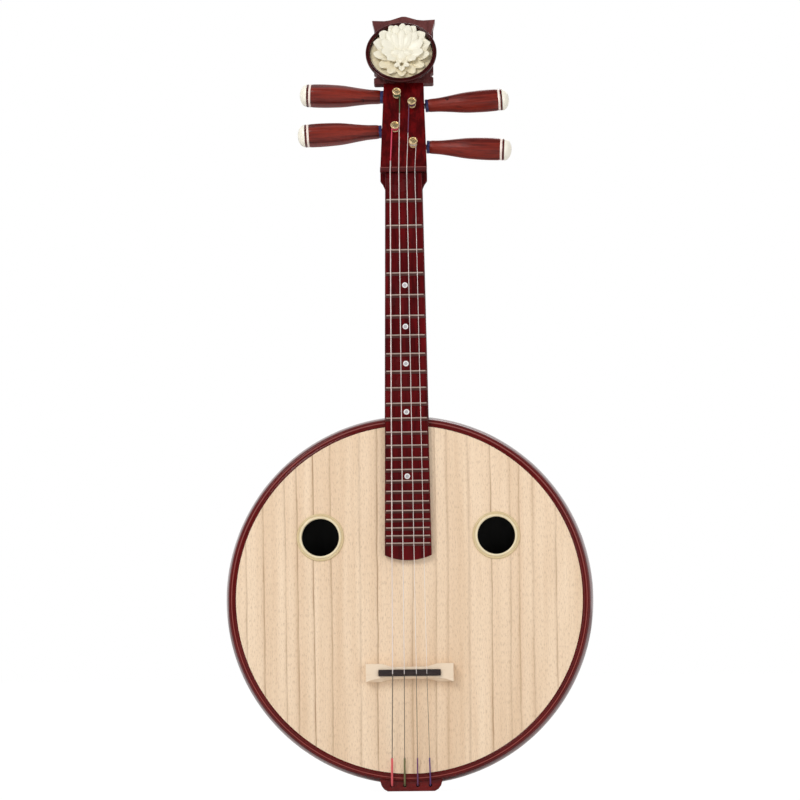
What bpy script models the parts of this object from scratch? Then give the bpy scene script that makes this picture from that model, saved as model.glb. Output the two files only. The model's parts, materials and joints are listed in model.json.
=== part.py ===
"""Zhongruan, a round four-string plucked lute, built as its separate pieces.

World axes: +Z runs up the neck, the soundboard faces -Y, +X is to the player's right as
seen from the front. The origin is the centre of the tail block's flat foot.

Two empties carry the pieces. Under the face empty and under the head empty a piece is
drawn in face coordinates: x across, y up the instrument, z out of the front.
"""
import math

import bmesh
import bpy
from mathutils import Matrix, Vector

# Clearance between touching pieces
GAP = 0.0003

# Body
BODY_RADIUS = 0.237
BODY_DEPTH = 0.064
RING_EDGE_RADIUS = 0.2309
RING_ROUNDING = 0.0014
RIM_WALL = 0.010
BOARD_RADIUS = 0.222
BOARD_THICKNESS = 0.005
BOARD_RECESS = 0.0006
LINING_WIDTH = 0.008
LINING_HEIGHT = 0.004
BRACE_WIDTH = 0.010
BRACE_HEIGHT = 0.014
BRACE_HALF_LENGTH = 0.200
BRACE_BELOW_CENTRE = 0.025
BODY_STEPS = 60

# Soundholes
SOUNDHOLE_X = 0.113
SOUNDHOLE_RISE = 0.0788
SOUNDHOLE_RADIUS = 0.024
SOUNDHOLE_RING_RADIUS = 0.0305
SOUNDHOLE_RING_PROUD = 0.0022
SOUNDHOLE_NECK_WALL = 0.0027
SOUNDHOLE_STEPS = 24

# Tail block
TAIL_DROP = 0.0075
TAIL_WIDTH = 0.0796
TAIL_FOOT_WIDTH = 0.060
TAIL_SHOULDER_RISE = 0.014
TAIL_SETBACK = 0.003
TAIL_HOLE_RADIUS = 0.0022
TAIL_HOLE_HEIGHT = 0.0073
TAIL_HOLE_STEPS = 12
STRING_ENTRY = 0.010

# Neck
NECK_LENGTH = 0.3155
HEEL_DEPTH = 0.050
NECK_DEPTH = 0.024
SHOULDER_WIDTH = 0.061
SHOULDER_LENGTH = 0.0105
SHOULDER_TAPER = 0.011
NECK_OVERHANG = 0.0012
TENON_WIDTH = 0.028
TENON_DEPTH = 0.030
TENON_START = 0.010
TENON_REACH = 0.026

# Fingerboard, frets and nut
STRING_LENGTH = 0.6475
FRET_SCALE = 0.6435
FRET_COUNT = 24
FINGERBOARD_THICKNESS = 0.007
FINGERBOARD_TOP_WIDTH = 0.0474
FINGERBOARD_END_WIDTH = 0.0602
FINGERBOARD_TAIL = 0.0155
FINGERBOARD_END_ARC = 0.0065
FRET_HEIGHT = 0.0032
FRET_BASE_AHEAD = 0.0007
FRET_BASE_BEHIND = 0.0040
FRET_CREST = 0.0009
FRET_END_CHAMFER = 0.0022
NUT_LENGTH = 0.0072
NUT_LAND = 0.0015
NUT_FALL = 0.0042
NUT_ABOVE_NOTCH = 0.0010
NUT_NOTCH_HEIGHT = 0.0118

# Bridge
BRIDGE_WIDTH = 0.1118
BRIDGE_LENGTH = 0.0234
BRIDGE_HEIGHT = 0.0130
BRIDGE_SKIRT = 0.0050
BRIDGE_UPPER_SCALLOP = 0.0040
BRIDGE_LOWER_SCALLOP = 0.0034
BRIDGE_SLOPE_LENGTH = 0.0064
BRIDGE_ARCH_WIDTH = 0.046
BRIDGE_ARCH_HEIGHT = 0.0055
SADDLE_WIDTH = 0.0783
SADDLE_LENGTH = 0.0074
SADDLE_DEPTH = 0.0030
SADDLE_FALL = 0.0012
SADDLE_ABOVE_NOTCH = 0.0008
SADDLE_NOTCH_HEIGHT = 0.0166

# Peg head
HEAD_LEAN = math.radians(20.0)
HEAD_LENGTH = 0.1325
HEAD_TOP_WIDTH = 0.0528
HEAD_DEPTH = 0.032
HEAD_FRONT_WALL = 0.009
HEAD_SIDE_WALL = 0.007
POCKET_START = 0.0235
POCKET_TOP_WALL = 0.006
COVER_THICKNESS = 0.004
COVER_LEDGE = 0.003
COVER_RECESS = 0.0004

# Tuning mechanism
MODULE = 0.0009
WHEEL_TEETH = 12
WHEEL_WIDTH = 0.005
WORM_PITCH_RADIUS = 0.0027
WORM_DEPTH = 0.017
WORM_TURNS = 3
THREAD_STEPS = 10
WHEEL_HAND = 1
ADDENDUM = 0.0007
DEDENDUM = 0.00095
TOOTH_HALF = 0.00050
FLANK_ANGLE = math.radians(20.0)
SHAFT_RADIUS = 0.0037
COLLAR_RADIUS = 0.0084
COLLAR_LENGTH = 0.0036
SHAFT_SOCKET = 0.030
POST_RADIUS = 0.0030
POST_HEIGHT = 0.0110
POST_CAP_RADIUS = 0.00575
POST_CAP_THICKNESS = 0.0024
POST_WASHER_RADIUS = 0.0050
POST_WASHER_THICKNESS = 0.0010
POST_TAIL = 0.0030
POST_CAP_DISH = 0.0008
POST_CAP_LIP = 0.0009
STRING_HOLE_RADIUS = 0.0009
POST_STEPS = 12

# Peg handles
HANDLE_LENGTH = 0.0925
HANDLE_RADIUS = 0.0154
HANDLE_NECK_RADIUS = 0.0091
HANDLE_CORNER = math.radians(9.0)
HANDLE_TURN = {-1: math.radians(24.0), 1: math.radians(6.0)}
PEG_RING_LENGTH = 0.0056
PEG_CAP_LENGTH = 0.0095
PEG_CAP_RADIUS = 0.0146
PEG_CAP_TENON_RADIUS = 0.0040
PEG_CAP_TENON_LENGTH = 0.010
PEG_CAP_STEPS = 16

# Head ornament
CREST_LENGTH = 0.1013
CREST_TOP_WIDTH = 0.0850
CREST_PEAK = 0.0060
CREST_BLOCK_WIDTH = 0.0794
CREST_FRONT_DEPTH = 0.006
CREST_WING_BACK = 0.014
CREST_EAR_RISE = 0.0030
CREST_EAR_LENGTH = 0.0100
CREST_BEVEL = 0.0015
CREST_WAIST = 0.004
DISC_RADIUS = 0.0475
DISC_INNER_RADIUS = 0.0422
DISC_FOOT_RADIUS = 0.0360
DISC_DEPTH = 0.0140
DISC_DISH_DEPTH = 0.0090
DISC_OFFSET_X = -0.0028
DISC_CENTRE_RISE = 0.0392
DISC_STEPS = 40
FLOWER_HEIGHT = 0.0150
FLOWER_STEPS = 30

# Strings: x at the tail holes, the saddle and the nut, radius, silk radius at the tail
# and at the head
STRINGS = (
    (-0.0243, -0.0214, -0.0172, 0.00065, 0.00140, 0.00080),
    (-0.0082, -0.0066, -0.0060, 0.00052, 0.00120, 0.00062),
    (0.0083, 0.0087, 0.0043, 0.00042, 0.00090, 0.00060),
    (0.0243, 0.0220, 0.0149, 0.00034, 0.00090, 0.00040),
)
# Pegs: side, post x, post distance up the head, tilt of the outer end, string
PEGS = (
    (-1, -0.0089, 0.1130, math.radians(2.6), 1),
    (1, 0.0112, 0.0974, math.radians(4.4), 2),
    (-1, -0.0112, 0.0602, math.radians(-2.6), 0),
    (1, 0.0127, 0.0352, math.radians(-3.4), 3),
)
# Side of the post that its string leaves from
STRING_LEAVES = {0: -1, 1: 1, 2: -1, 3: 1}
WINDING_LOOPS = 2.25
LOOP_POINTS = 24
WINDING_GAP = 0.00055
SILK_TAIL_LENGTH = 0.027
SILK_HEAD_LENGTH = {0: 0.050, 1: 0.028, 2: 0.044, 3: 0.0}

# Places worked out from the driving sizes
BODY_CENTRE = BODY_RADIUS + TAIL_DROP
BODY_TOP = BODY_CENTRE + BODY_RADIUS
NUT_Y = BODY_TOP + NECK_LENGTH
HEAD_START = NUT_Y + NUT_LENGTH + GAP
SADDLE_Y = NUT_Y - STRING_LENGTH
FACE_Y = -BODY_DEPTH / 2
BOARD_FRONT = -BOARD_RECESS
BOARD_BACK = BOARD_FRONT - BOARD_THICKNESS
FINGERBOARD_BASE = GAP
FINGERBOARD_TOP = FINGERBOARD_BASE + FINGERBOARD_THICKNESS
CENTRE_DISTANCE = WORM_PITCH_RADIUS + MODULE * WHEEL_TEETH / 2
COVER_FRONT = -(HEAD_DEPTH - COVER_RECESS - COVER_THICKNESS)


def fret_y(number):
    """Height of a fret in equal temperament, counted from the nut."""
    return NUT_Y - FRET_SCALE * (1 - 2 ** (-number / 12))


FINGERBOARD_END = fret_y(FRET_COUNT) - FINGERBOARD_TAIL
FINGERBOARD_START = NUT_Y - GAP


def fingerboard_half(y):
    """Half the width of the fingerboard at a height."""
    share = (FINGERBOARD_START - y) / (FINGERBOARD_START - FINGERBOARD_END)
    return (FINGERBOARD_TOP_WIDTH + share * (FINGERBOARD_END_WIDTH - FINGERBOARD_TOP_WIDTH)) / 2


def head_half(y):
    """Half the width of the peg head at a distance up the head."""
    return (SHOULDER_WIDTH + y / HEAD_LENGTH * (HEAD_TOP_WIDTH - SHOULDER_WIDTH)) / 2


for old in list(bpy.data.objects):
    bpy.data.objects.remove(old, do_unlink=True)


def make_material(name, colour, roughness, metallic=0.0):
    """A plain Principled material."""
    material = bpy.data.materials.new(name)
    material.use_nodes = True
    shader = material.node_tree.nodes["Principled BSDF"]
    shader.inputs["Base Color"].default_value = (*colour, 1.0)
    shader.inputs["Roughness"].default_value = roughness
    shader.inputs["Metallic"].default_value = metallic
    material.diffuse_color = (*colour, 1.0)
    return material


LACQUER = make_material("dark_red_lacquer", (0.090, 0.008, 0.009), 0.22)
BOARD_WOOD = make_material("paulownia", (0.800, 0.600, 0.410), 0.60)
BRACE_WOOD = make_material("spruce", (0.700, 0.520, 0.330), 0.70)
BONE = make_material("bone", (0.860, 0.780, 0.600), 0.35)
NICKEL = make_material("nickel", (0.620, 0.560, 0.540), 0.28, 1.0)
BRIDGE_WOOD = make_material("maple", (0.880, 0.700, 0.520), 0.50)
EBONY = make_material("ebony", (0.020, 0.015, 0.014), 0.40)
PEG_WOOD = make_material("rosewood", (0.230, 0.035, 0.018), 0.35)
IVORY = make_material("ivory", (0.900, 0.870, 0.780), 0.30)
STEEL = make_material("steel", (0.450, 0.450, 0.460), 0.35, 1.0)
BRASS = make_material("brass", (0.750, 0.500, 0.220), 0.25, 1.0)
STRING_STEEL = make_material("wound_steel", (0.600, 0.520, 0.500), 0.40, 1.0)


def empty(name, matrix, parent=None):
    """An axis that pieces hang on."""
    axis = bpy.data.objects.new(name, None)
    bpy.context.collection.objects.link(axis)
    axis.parent = parent
    axis.matrix_local = matrix
    return axis


def add_object(name, mesh, material, parent, place=None):
    """Link a mesh as one named piece."""
    piece = bpy.data.objects.new(name, mesh)
    bpy.context.collection.objects.link(piece)
    piece.parent = parent
    if place is not None:
        piece.matrix_local = place
    if material is not None:
        mesh.materials.append(material)
    return piece


def add_bmesh(name, bm, material, parent, place=None, smooth=False):
    """Turn a finished bmesh into one named piece with its faces pointing out."""
    bmesh.ops.connect_verts_nonplanar(bm, angle_limit=math.radians(0.01), faces=bm.faces)
    bmesh.ops.recalc_face_normals(bm, faces=bm.faces)
    mesh = bpy.data.meshes.new(name)
    bm.to_mesh(mesh)
    bm.free()
    if smooth:
        mesh.shade_smooth()
        mesh.set_sharp_from_angle(angle=math.radians(35.0))
    return add_object(name, mesh, material, parent, place)


def spun(name, profile, steps, material, parent, place=None, closed=False):
    """Turn a profile of (radius, height) points about the local z axis."""
    bm = bmesh.new()
    verts = [bm.verts.new((radius, 0.0, height)) for radius, height in profile]
    edges = [bm.edges.new(pair) for pair in zip(verts, verts[1:])]
    if closed:
        edges.append(bm.edges.new((verts[-1], verts[0])))
    bmesh.ops.spin(
        bm, geom=verts + edges, cent=(0, 0, 0), axis=(0, 0, 1),
        angle=math.tau, steps=steps, use_merge=True)
    bmesh.ops.remove_doubles(bm, verts=bm.verts, dist=1e-7)
    bmesh.ops.dissolve_degenerate(bm, dist=1e-7, edges=bm.edges)
    return add_bmesh(name, bm, material, parent, place, smooth=True)


def lofted(name, rings, material, parent, place=None, smooth=False):
    """Join rings of equally many points into one closed skin with flat ends."""
    bm = bmesh.new()
    loops = [[bm.verts.new(point) for point in ring] for ring in rings]
    for lower, upper in zip(loops, loops[1:]):
        for i in range(len(lower)):
            j = (i + 1) % len(lower)
            bm.faces.new((lower[i], lower[j], upper[j], upper[i]))
    bm.faces.new(list(reversed(loops[0])))
    bm.faces.new(loops[-1])
    return add_bmesh(name, bm, material, parent, place, smooth)


def prism(name, outline, low, high, material, parent, place=None):
    """Extrude an outline of (x, y) points from one z to another."""
    rings = [[(x, y, z) for x, y in outline] for z in (low, high)]
    return lofted(name, rings, material, parent, place)


def box(name, low, high, material, parent, place=None):
    """A rectangular block between two corners."""
    outline = ((low[0], low[1]), (high[0], low[1]), (high[0], high[1]), (low[0], high[1]))
    return prism(name, outline, low[2], high[2], material, parent, place)


def boolean(target, other, operation):
    """Cut or join with a guide solid, which is hidden."""
    other.hide_render = True
    other.display_type = "WIRE"
    modifier = target.modifiers.new(other.name, "BOOLEAN")
    modifier.operation = operation
    modifier.object = other
    modifier.solver = "EXACT"


def cut(target, cutter):
    boolean(target, cutter, "DIFFERENCE")


def join(target, addition):
    boolean(target, addition, "UNION")


def mirrored(points):
    """Right-hand points followed by their mirror images, as a closed outline."""
    return list(points) + [(-x, y) for x, y in reversed(points)]


face = empty("face", Matrix.Translation((0, FACE_Y, 0)) @ Matrix.Rotation(math.pi / 2, 4, "X"))
head_place = Matrix.Translation((0, HEAD_START, 0)) @ Matrix.Rotation(-HEAD_LEAN, 4, "X")
head = empty("head", head_place, face)
body_place = Matrix.Translation((0, BODY_CENTRE, 0))


# Body: rim with its front ring, two boards, soundhole rings and brace
def rim_outside(offset):
    """Outer profile of the rim from front to back, moved out by an offset."""
    middle = -BODY_DEPTH / 2
    bulge = BODY_RADIUS - RING_EDGE_RADIUS
    points = []
    for share in (1.0, 0.66, 0.0, -0.66, -1.0):
        reach = BODY_DEPTH / 2 - RING_ROUNDING
        points.append((BODY_RADIUS - bulge * share * share + offset, middle + share * reach))
    return points


def make_rim():
    board_edge = BOARD_RADIUS + GAP
    ring_inside = RING_EDGE_RADIUS - RING_ROUNDING
    floor = BOARD_BACK - GAP
    lining = board_edge - LINING_WIDTH
    wall = BODY_RADIUS - RIM_WALL
    foot = floor - LINING_HEIGHT
    slope = wall - lining
    profile = [(board_edge, 0.0), (ring_inside, 0.0)]
    profile += rim_outside(0.0)
    profile += [(ring_inside, -BODY_DEPTH), (board_edge, -BODY_DEPTH)]
    profile += [(board_edge, -BODY_DEPTH - floor), (lining, -BODY_DEPTH - floor)]
    profile += [(lining, -BODY_DEPTH - foot), (wall, -BODY_DEPTH - foot + slope / 2)]
    profile += [(wall, foot - slope / 2), (lining, foot), (lining, floor), (board_edge, floor)]
    rim = spun("rim", profile, BODY_STEPS, LACQUER, face, body_place, closed=True)
    slot = box(
        "cut_tenon_slot",
        (-TENON_WIDTH / 2 - GAP, BODY_TOP - TENON_REACH - GAP, -TENON_START - TENON_DEPTH - GAP),
        (TENON_WIDTH / 2 + GAP, BODY_TOP + RIM_WALL, -TENON_START + GAP), None, face)
    cut(rim, slot)


def body_outside(name):
    """The space that the whole body takes, with its clearance, as a cutter."""
    profile = [(0.0, GAP), (RING_EDGE_RADIUS - RING_ROUNDING + GAP, GAP)]
    profile += rim_outside(GAP)
    profile += [(RING_EDGE_RADIUS - RING_ROUNDING + GAP, -BODY_DEPTH - GAP), (0.0, -BODY_DEPTH - GAP)]
    return spun(name, profile, BODY_STEPS, None, face, body_place)


def make_boards():
    edge = BOARD_RADIUS
    front = [(0.0, BOARD_FRONT), (edge, BOARD_FRONT), (edge, BOARD_BACK), (0.0, BOARD_BACK)]
    soundboard = spun("soundboard", front, BODY_STEPS, BOARD_WOOD, face, body_place)
    back = [(radius, -BODY_DEPTH - height) for radius, height in reversed(front)]
    spun("back_board", back, BODY_STEPS, BOARD_WOOD, face, body_place)
    for side, word in ((-1, "left"), (1, "right")):
        place = Matrix.Translation((side * SOUNDHOLE_X, BODY_CENTRE + SOUNDHOLE_RISE, 0))
        neck = SOUNDHOLE_RADIUS + SOUNDHOLE_NECK_WALL
        hole = neck + GAP
        depth = BOARD_BACK - RIM_WALL
        cutter = [(0.0, RIM_WALL), (hole, RIM_WALL), (hole, depth), (0.0, depth)]
        cut(soundboard, spun("cut_soundhole_" + word, cutter, SOUNDHOLE_STEPS, None, face, place))
        seat = BOARD_FRONT + GAP
        crown = SOUNDHOLE_RING_PROUD
        middle = (SOUNDHOLE_RADIUS + SOUNDHOLE_RING_RADIUS) / 2
        ring = [
            (SOUNDHOLE_RADIUS, crown - 0.3 * SOUNDHOLE_RING_PROUD), (middle, crown),
            (SOUNDHOLE_RING_RADIUS - 0.2 * SOUNDHOLE_RING_PROUD, crown * 0.6),
            (SOUNDHOLE_RING_RADIUS, seat), (neck, seat), (neck, BOARD_BACK),
            (SOUNDHOLE_RADIUS, BOARD_BACK)]
        spun("soundhole_ring_" + word, ring, SOUNDHOLE_STEPS, BONE, face, place, closed=True)
    top = BOARD_BACK - GAP
    middle = BODY_CENTRE - BRACE_BELOW_CENTRE
    box(
        "soundboard_brace",
        (-BRACE_HALF_LENGTH, middle - BRACE_WIDTH / 2, top - BRACE_HEIGHT),
        (BRACE_HALF_LENGTH, middle + BRACE_WIDTH / 2, top), BRACE_WOOD, face)


# Tail block: its top follows the rim and its foot is flat
def make_tail_block():
    half = TAIL_WIDTH / 2
    foot = TAIL_FOOT_WIDTH / 2
    spread = half - foot
    rise = TAIL_SHOULDER_RISE
    right = [
        (foot, 0.0), (foot + 0.45 * spread, 0.18 * rise), (foot + 0.80 * spread, 0.50 * rise),
        (half, rise), (half, TAIL_DROP + BODY_RADIUS - RING_EDGE_RADIUS + rise)]
    back = -BODY_DEPTH + TAIL_SETBACK
    block = prism("tail_block", mirrored(right), back, -TAIL_SETBACK, LACQUER, face)
    cut(block, body_outside("cut_tail_seat"))
    for number, string in enumerate(STRINGS, 1):
        place = Matrix.Translation((string[0], TAIL_HOLE_HEIGHT, 0))
        profile = [(0.0, GAP), (TAIL_HOLE_RADIUS, GAP), (TAIL_HOLE_RADIUS, back - GAP), (0.0, back - GAP)]
        cut(block, spun("cut_tail_hole_%d" % number, profile, TAIL_HOLE_STEPS, None, face, place))


# Neck and peg head in one piece of wood
def neck_section(half, depth, roundness, place):
    """A flat front and a rounded back, across the neck."""
    count = 12
    ring = []
    for step in range(count + 1):
        angle = math.pi * step / count
        x = math.copysign(abs(math.cos(angle)) ** (2 / roundness), math.cos(angle)) * half
        z = -abs(math.sin(angle)) ** (2 / roundness) * depth
        ring.append(place @ Vector((x, 0.0, z)))
    return ring


def make_neck():
    shoulder = SHOULDER_WIDTH / 2
    heel_top = BODY_TOP + HEEL_DEPTH

    def across(y, depth, half=None, roundness=2.4):
        width = fingerboard_half(y) + NECK_OVERHANG / 2 if half is None else half
        return neck_section(width, depth, roundness, Matrix.Translation((0, y, 0)))

    shoulder_low = NUT_Y - SHOULDER_LENGTH
    rings = [
        across(BODY_TOP - RIM_WALL, HEEL_DEPTH, roundness=3.0),
        across(BODY_TOP + 0.30 * HEEL_DEPTH, HEEL_DEPTH * 0.92, roundness=2.8),
        across(BODY_TOP + 0.70 * HEEL_DEPTH, (HEEL_DEPTH + NECK_DEPTH) / 2),
        across(heel_top + 0.20 * HEEL_DEPTH, NECK_DEPTH * 1.10),
        across((heel_top + NUT_Y) / 2, NECK_DEPTH * 1.04),
        across(shoulder_low - SHOULDER_TAPER, NECK_DEPTH),
        across(shoulder_low - 0.4 * SHOULDER_TAPER, NECK_DEPTH * 1.02, 0.45 * fingerboard_half(NUT_Y) + 0.55 * shoulder),
        across(shoulder_low, NECK_DEPTH * 1.08, shoulder, 3.0)]
    tilted = head_place
    rings.append(neck_section(shoulder, HEAD_DEPTH, 9.0, tilted))
    rings.append(neck_section(HEAD_TOP_WIDTH / 2, HEAD_DEPTH, 9.0, tilted @ Matrix.Translation((0, HEAD_LENGTH, 0))))
    neck = lofted("neck", rings, LACQUER, face, smooth=True)
    cut(neck, body_outside("cut_heel_seat"))
    tenon = box(
        "join_tenon",
        (-TENON_WIDTH / 2, BODY_TOP - TENON_REACH, -TENON_START - TENON_DEPTH),
        (TENON_WIDTH / 2, BODY_TOP + RIM_WALL, -TENON_START), None, face)
    join(neck, tenon)
    hollow_head(neck)
    return neck


def head_trapezium(name, inset, start, end, low, high, material=None):
    """A block that follows the taper of the peg head, inset from its sides."""
    outline = (
        (-head_half(start) + inset, start), (head_half(start) - inset, start),
        (head_half(end) - inset, end), (-head_half(end) + inset, end))
    return prism(name, outline, low, high, material, head)


def hollow_head(neck):
    """Pocket, cover rebate and the bores of posts and shafts."""
    end = HEAD_LENGTH - POCKET_TOP_WALL
    back = -HEAD_DEPTH - HEAD_FRONT_WALL
    cut(neck, head_trapezium("cut_pocket", HEAD_SIDE_WALL, POCKET_START, end, back, -HEAD_FRONT_WALL))
    inset = HEAD_SIDE_WALL - COVER_LEDGE
    cut(neck, head_trapezium(
        "cut_cover_rebate", inset, POCKET_START - COVER_LEDGE, end + COVER_LEDGE, back, COVER_FRONT + GAP))
    head_trapezium(
        "head_back_cover", inset + GAP, POCKET_START - COVER_LEDGE + GAP, end + COVER_LEDGE - GAP,
        COVER_FRONT - COVER_THICKNESS, COVER_FRONT, LACQUER)
    for number, peg in enumerate(PEGS, 1):
        bore = POST_RADIUS + GAP
        profile = [(0.0, GAP), (bore, GAP), (bore, -HEAD_FRONT_WALL - GAP), (0.0, -HEAD_FRONT_WALL - GAP)]
        cut(neck, spun("cut_post_bore_%d" % number, profile, POST_STEPS, None, head, post_frame(peg)))
        bore = SHAFT_RADIUS + GAP
        inside, outside = side_wall(peg)
        profile = [(0.0, inside), (bore, inside), (bore, outside), (0.0, outside)]
        cut(neck, spun("cut_shaft_bore_%d" % number, profile, POST_STEPS, None, head, peg_frame(peg)))


# Frames of the tuning mechanism, in head coordinates
def post_frame(peg):
    """On the post's axis at the face of the head, x towards the worm."""
    _, x, y, tilt, _ = peg
    return Matrix.Translation((x, y, 0)) @ Matrix.Rotation(worm_side_angle(peg), 4, "Z")


def worm_side_angle(peg):
    side, _, _, tilt, _ = peg
    return math.atan2(math.cos(tilt), -side * math.sin(tilt))


def peg_frame(peg):
    """On the worm's axis beside the post, z outwards, x towards the post."""
    side, x, y, tilt, _ = peg
    outward = Vector((side * math.cos(tilt), math.sin(tilt), 0))
    across = Vector((-side * math.sin(tilt), math.cos(tilt), 0))
    origin = Vector((x, y, -WORM_DEPTH)) + across * CENTRE_DISTANCE
    third = outward.cross(-across)
    columns = Matrix((-across, third, outward)).transposed().to_4x4()
    return Matrix.Translation(origin) @ columns


def head_side_distance(peg):
    """Distance out along the peg's axis from the post to the outside of the head."""
    frame = peg_frame(peg)
    start = frame.translation
    outward = frame.to_3x3() @ Vector((0, 0, 1))
    slope = (HEAD_TOP_WIDTH - SHOULDER_WIDTH) / 2 / HEAD_LENGTH
    side = peg[0]
    return (head_half(start.y) - side * start.x) / (side * outward.x - slope * outward.y)


def side_wall(peg):
    """Where a bore along the peg's axis starts inside and ends outside the head."""
    outside = head_side_distance(peg)
    return outside - 1.6 * HEAD_SIDE_WALL, outside + HEAD_SIDE_WALL


# Fingerboard, frets and nut
def make_fingerboard():
    low = fingerboard_half(FINGERBOARD_END)
    top = fingerboard_half(FINGERBOARD_START)
    right = [(top, FINGERBOARD_START), (low, FINGERBOARD_END)]
    for step in (0.8, 0.6, 0.4, 0.2):
        right.append((low * step, FINGERBOARD_END - FINGERBOARD_END_ARC * (1 - step * step)))
    middle = [(0.0, FINGERBOARD_END - FINGERBOARD_END_ARC)]
    outline = right + middle + [(-x, y) for x, y in reversed(right)]
    prism("fingerboard", outline, FINGERBOARD_BASE, FINGERBOARD_TOP, LACQUER, face)


def make_frets():
    base = FINGERBOARD_TOP + GAP
    crest = base + FRET_HEIGHT
    for number in range(1, FRET_COUNT + 1):
        y = fret_y(number)
        half = fingerboard_half(y)
        inner = half - FRET_END_CHAMFER
        foot = (y - FRET_BASE_BEHIND, y + FRET_BASE_AHEAD)
        ridge = (y - FRET_CREST / 2, y + FRET_CREST / 2)
        rings = [
            [(-half, foot[0], base), (half, foot[0], base), (half, foot[1], base), (-half, foot[1], base)],
            [(-inner, ridge[0], crest), (inner, ridge[0], crest), (inner, ridge[1], crest), (-inner, ridge[1], crest)]]
        lofted("fret_%02d" % number, rings, NICKEL, face)


def notched_bar(name, stations, half, base, notches, material):
    """A bar across the strings; each station is (y, top, notch floor)."""
    rings = []
    for y, top, floor in stations:
        ring = [(-half, base), (-half, top)]
        for x, wide in notches:
            ring += [(x - wide, top), (x - wide, floor), (x + wide, floor), (x + wide, top)]
        ring += [(half, top), (half, base)]
        rings.append([(x, y, z) for x, z in ring])
    return lofted(name, rings, material, face)


def make_nut():
    notches = [(string[2], string[3] + GAP) for string in STRINGS]
    top = NUT_NOTCH_HEIGHT + NUT_ABOVE_NOTCH
    stations = (
        (NUT_Y, top, NUT_NOTCH_HEIGHT),
        (NUT_Y + NUT_LAND, top, NUT_NOTCH_HEIGHT),
        (NUT_Y + NUT_LENGTH, top - NUT_FALL, NUT_NOTCH_HEIGHT - NUT_FALL))
    notched_bar("nut", stations, SHOULDER_WIDTH / 2, GAP, notches, LACQUER)


# Floating bridge with its saddle
def bridge_ring(height, slope):
    """Outline of the bridge at a height; slope is how far the lower side is cut away."""
    half = BRIDGE_WIDTH / 2
    reach = BRIDGE_LENGTH / 2
    shares = (1.0, 0.86, 0.64, 0.55, 0.40, 0.0)
    upper = (0.0, 0.0, 0.0, 0.35, 1.0, 1.0)
    lower = (0.0, 0.0, 0.0, 0.55, 1.0, 1.0)
    leaf = (0.0, 0.45, 0.85, 1.0, 1.0, 1.0)
    high = [(half * s, SADDLE_Y + reach - u * BRIDGE_UPPER_SCALLOP) for s, u in zip(shares, upper)]
    low = []
    for share, scallop, cutaway in zip(shares, lower, leaf):
        edge = SADDLE_Y - reach + scallop * BRIDGE_LOWER_SCALLOP
        table = SADDLE_Y - reach + cutaway * BRIDGE_SLOPE_LENGTH
        low.append((half * share, edge + slope * max(table - edge, 0.0)))
    high_side = high[:-1] + [(0.0, high[-1][1])] + [(-x, y) for x, y in reversed(high[:-1])]
    low_side = low[:-1] + [(0.0, low[-1][1])] + [(-x, y) for x, y in reversed(low[:-1])]
    outline = list(reversed(high_side)) + low_side
    return [(x, y, height) for x, y in outline]


def make_bridge():
    base = BOARD_FRONT + GAP
    rings = [
        bridge_ring(base, 0.0), bridge_ring(base + BRIDGE_SKIRT, 0.0),
        bridge_ring(base + BRIDGE_HEIGHT, 1.0)]
    bridge = lofted("bridge", rings, BRIDGE_WOOD, face)
    arch = [(BRIDGE_ARCH_WIDTH / 2, base - BRIDGE_SKIRT)]
    for step in range(9):
        angle = math.pi * step / 8
        arch.append((math.cos(angle) * BRIDGE_ARCH_WIDTH / 2, base + math.sin(angle) * BRIDGE_ARCH_HEIGHT))
    arch.append((-BRIDGE_ARCH_WIDTH / 2, base - BRIDGE_SKIRT))
    rings = [[(x, y, z) for x, z in arch] for y in (SADDLE_Y + BRIDGE_LENGTH, SADDLE_Y - BRIDGE_LENGTH)]
    cut(bridge, lofted("cut_bridge_arch", rings, None, face))
    top = base + BRIDGE_HEIGHT
    half = SADDLE_WIDTH / 2
    reach = SADDLE_LENGTH / 2
    slot = box(
        "cut_saddle_slot", (-half - GAP, SADDLE_Y - reach - GAP, top - SADDLE_DEPTH - GAP),
        (half + GAP, SADDLE_Y + reach + GAP, top + SADDLE_DEPTH), None, face)
    cut(bridge, slot)
    notches = [(string[1], string[3] + GAP) for string in STRINGS]
    crest = SADDLE_NOTCH_HEIGHT + SADDLE_ABOVE_NOTCH
    stations = (
        (SADDLE_Y - reach, crest - SADDLE_FALL, SADDLE_NOTCH_HEIGHT - SADDLE_FALL),
        (SADDLE_Y, crest, SADDLE_NOTCH_HEIGHT),
        (SADDLE_Y + reach, crest - SADDLE_FALL, SADDLE_NOTCH_HEIGHT - SADDLE_FALL))
    notched_bar("bridge_saddle", stations, half, top - SADDLE_DEPTH, notches, EBONY)


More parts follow.
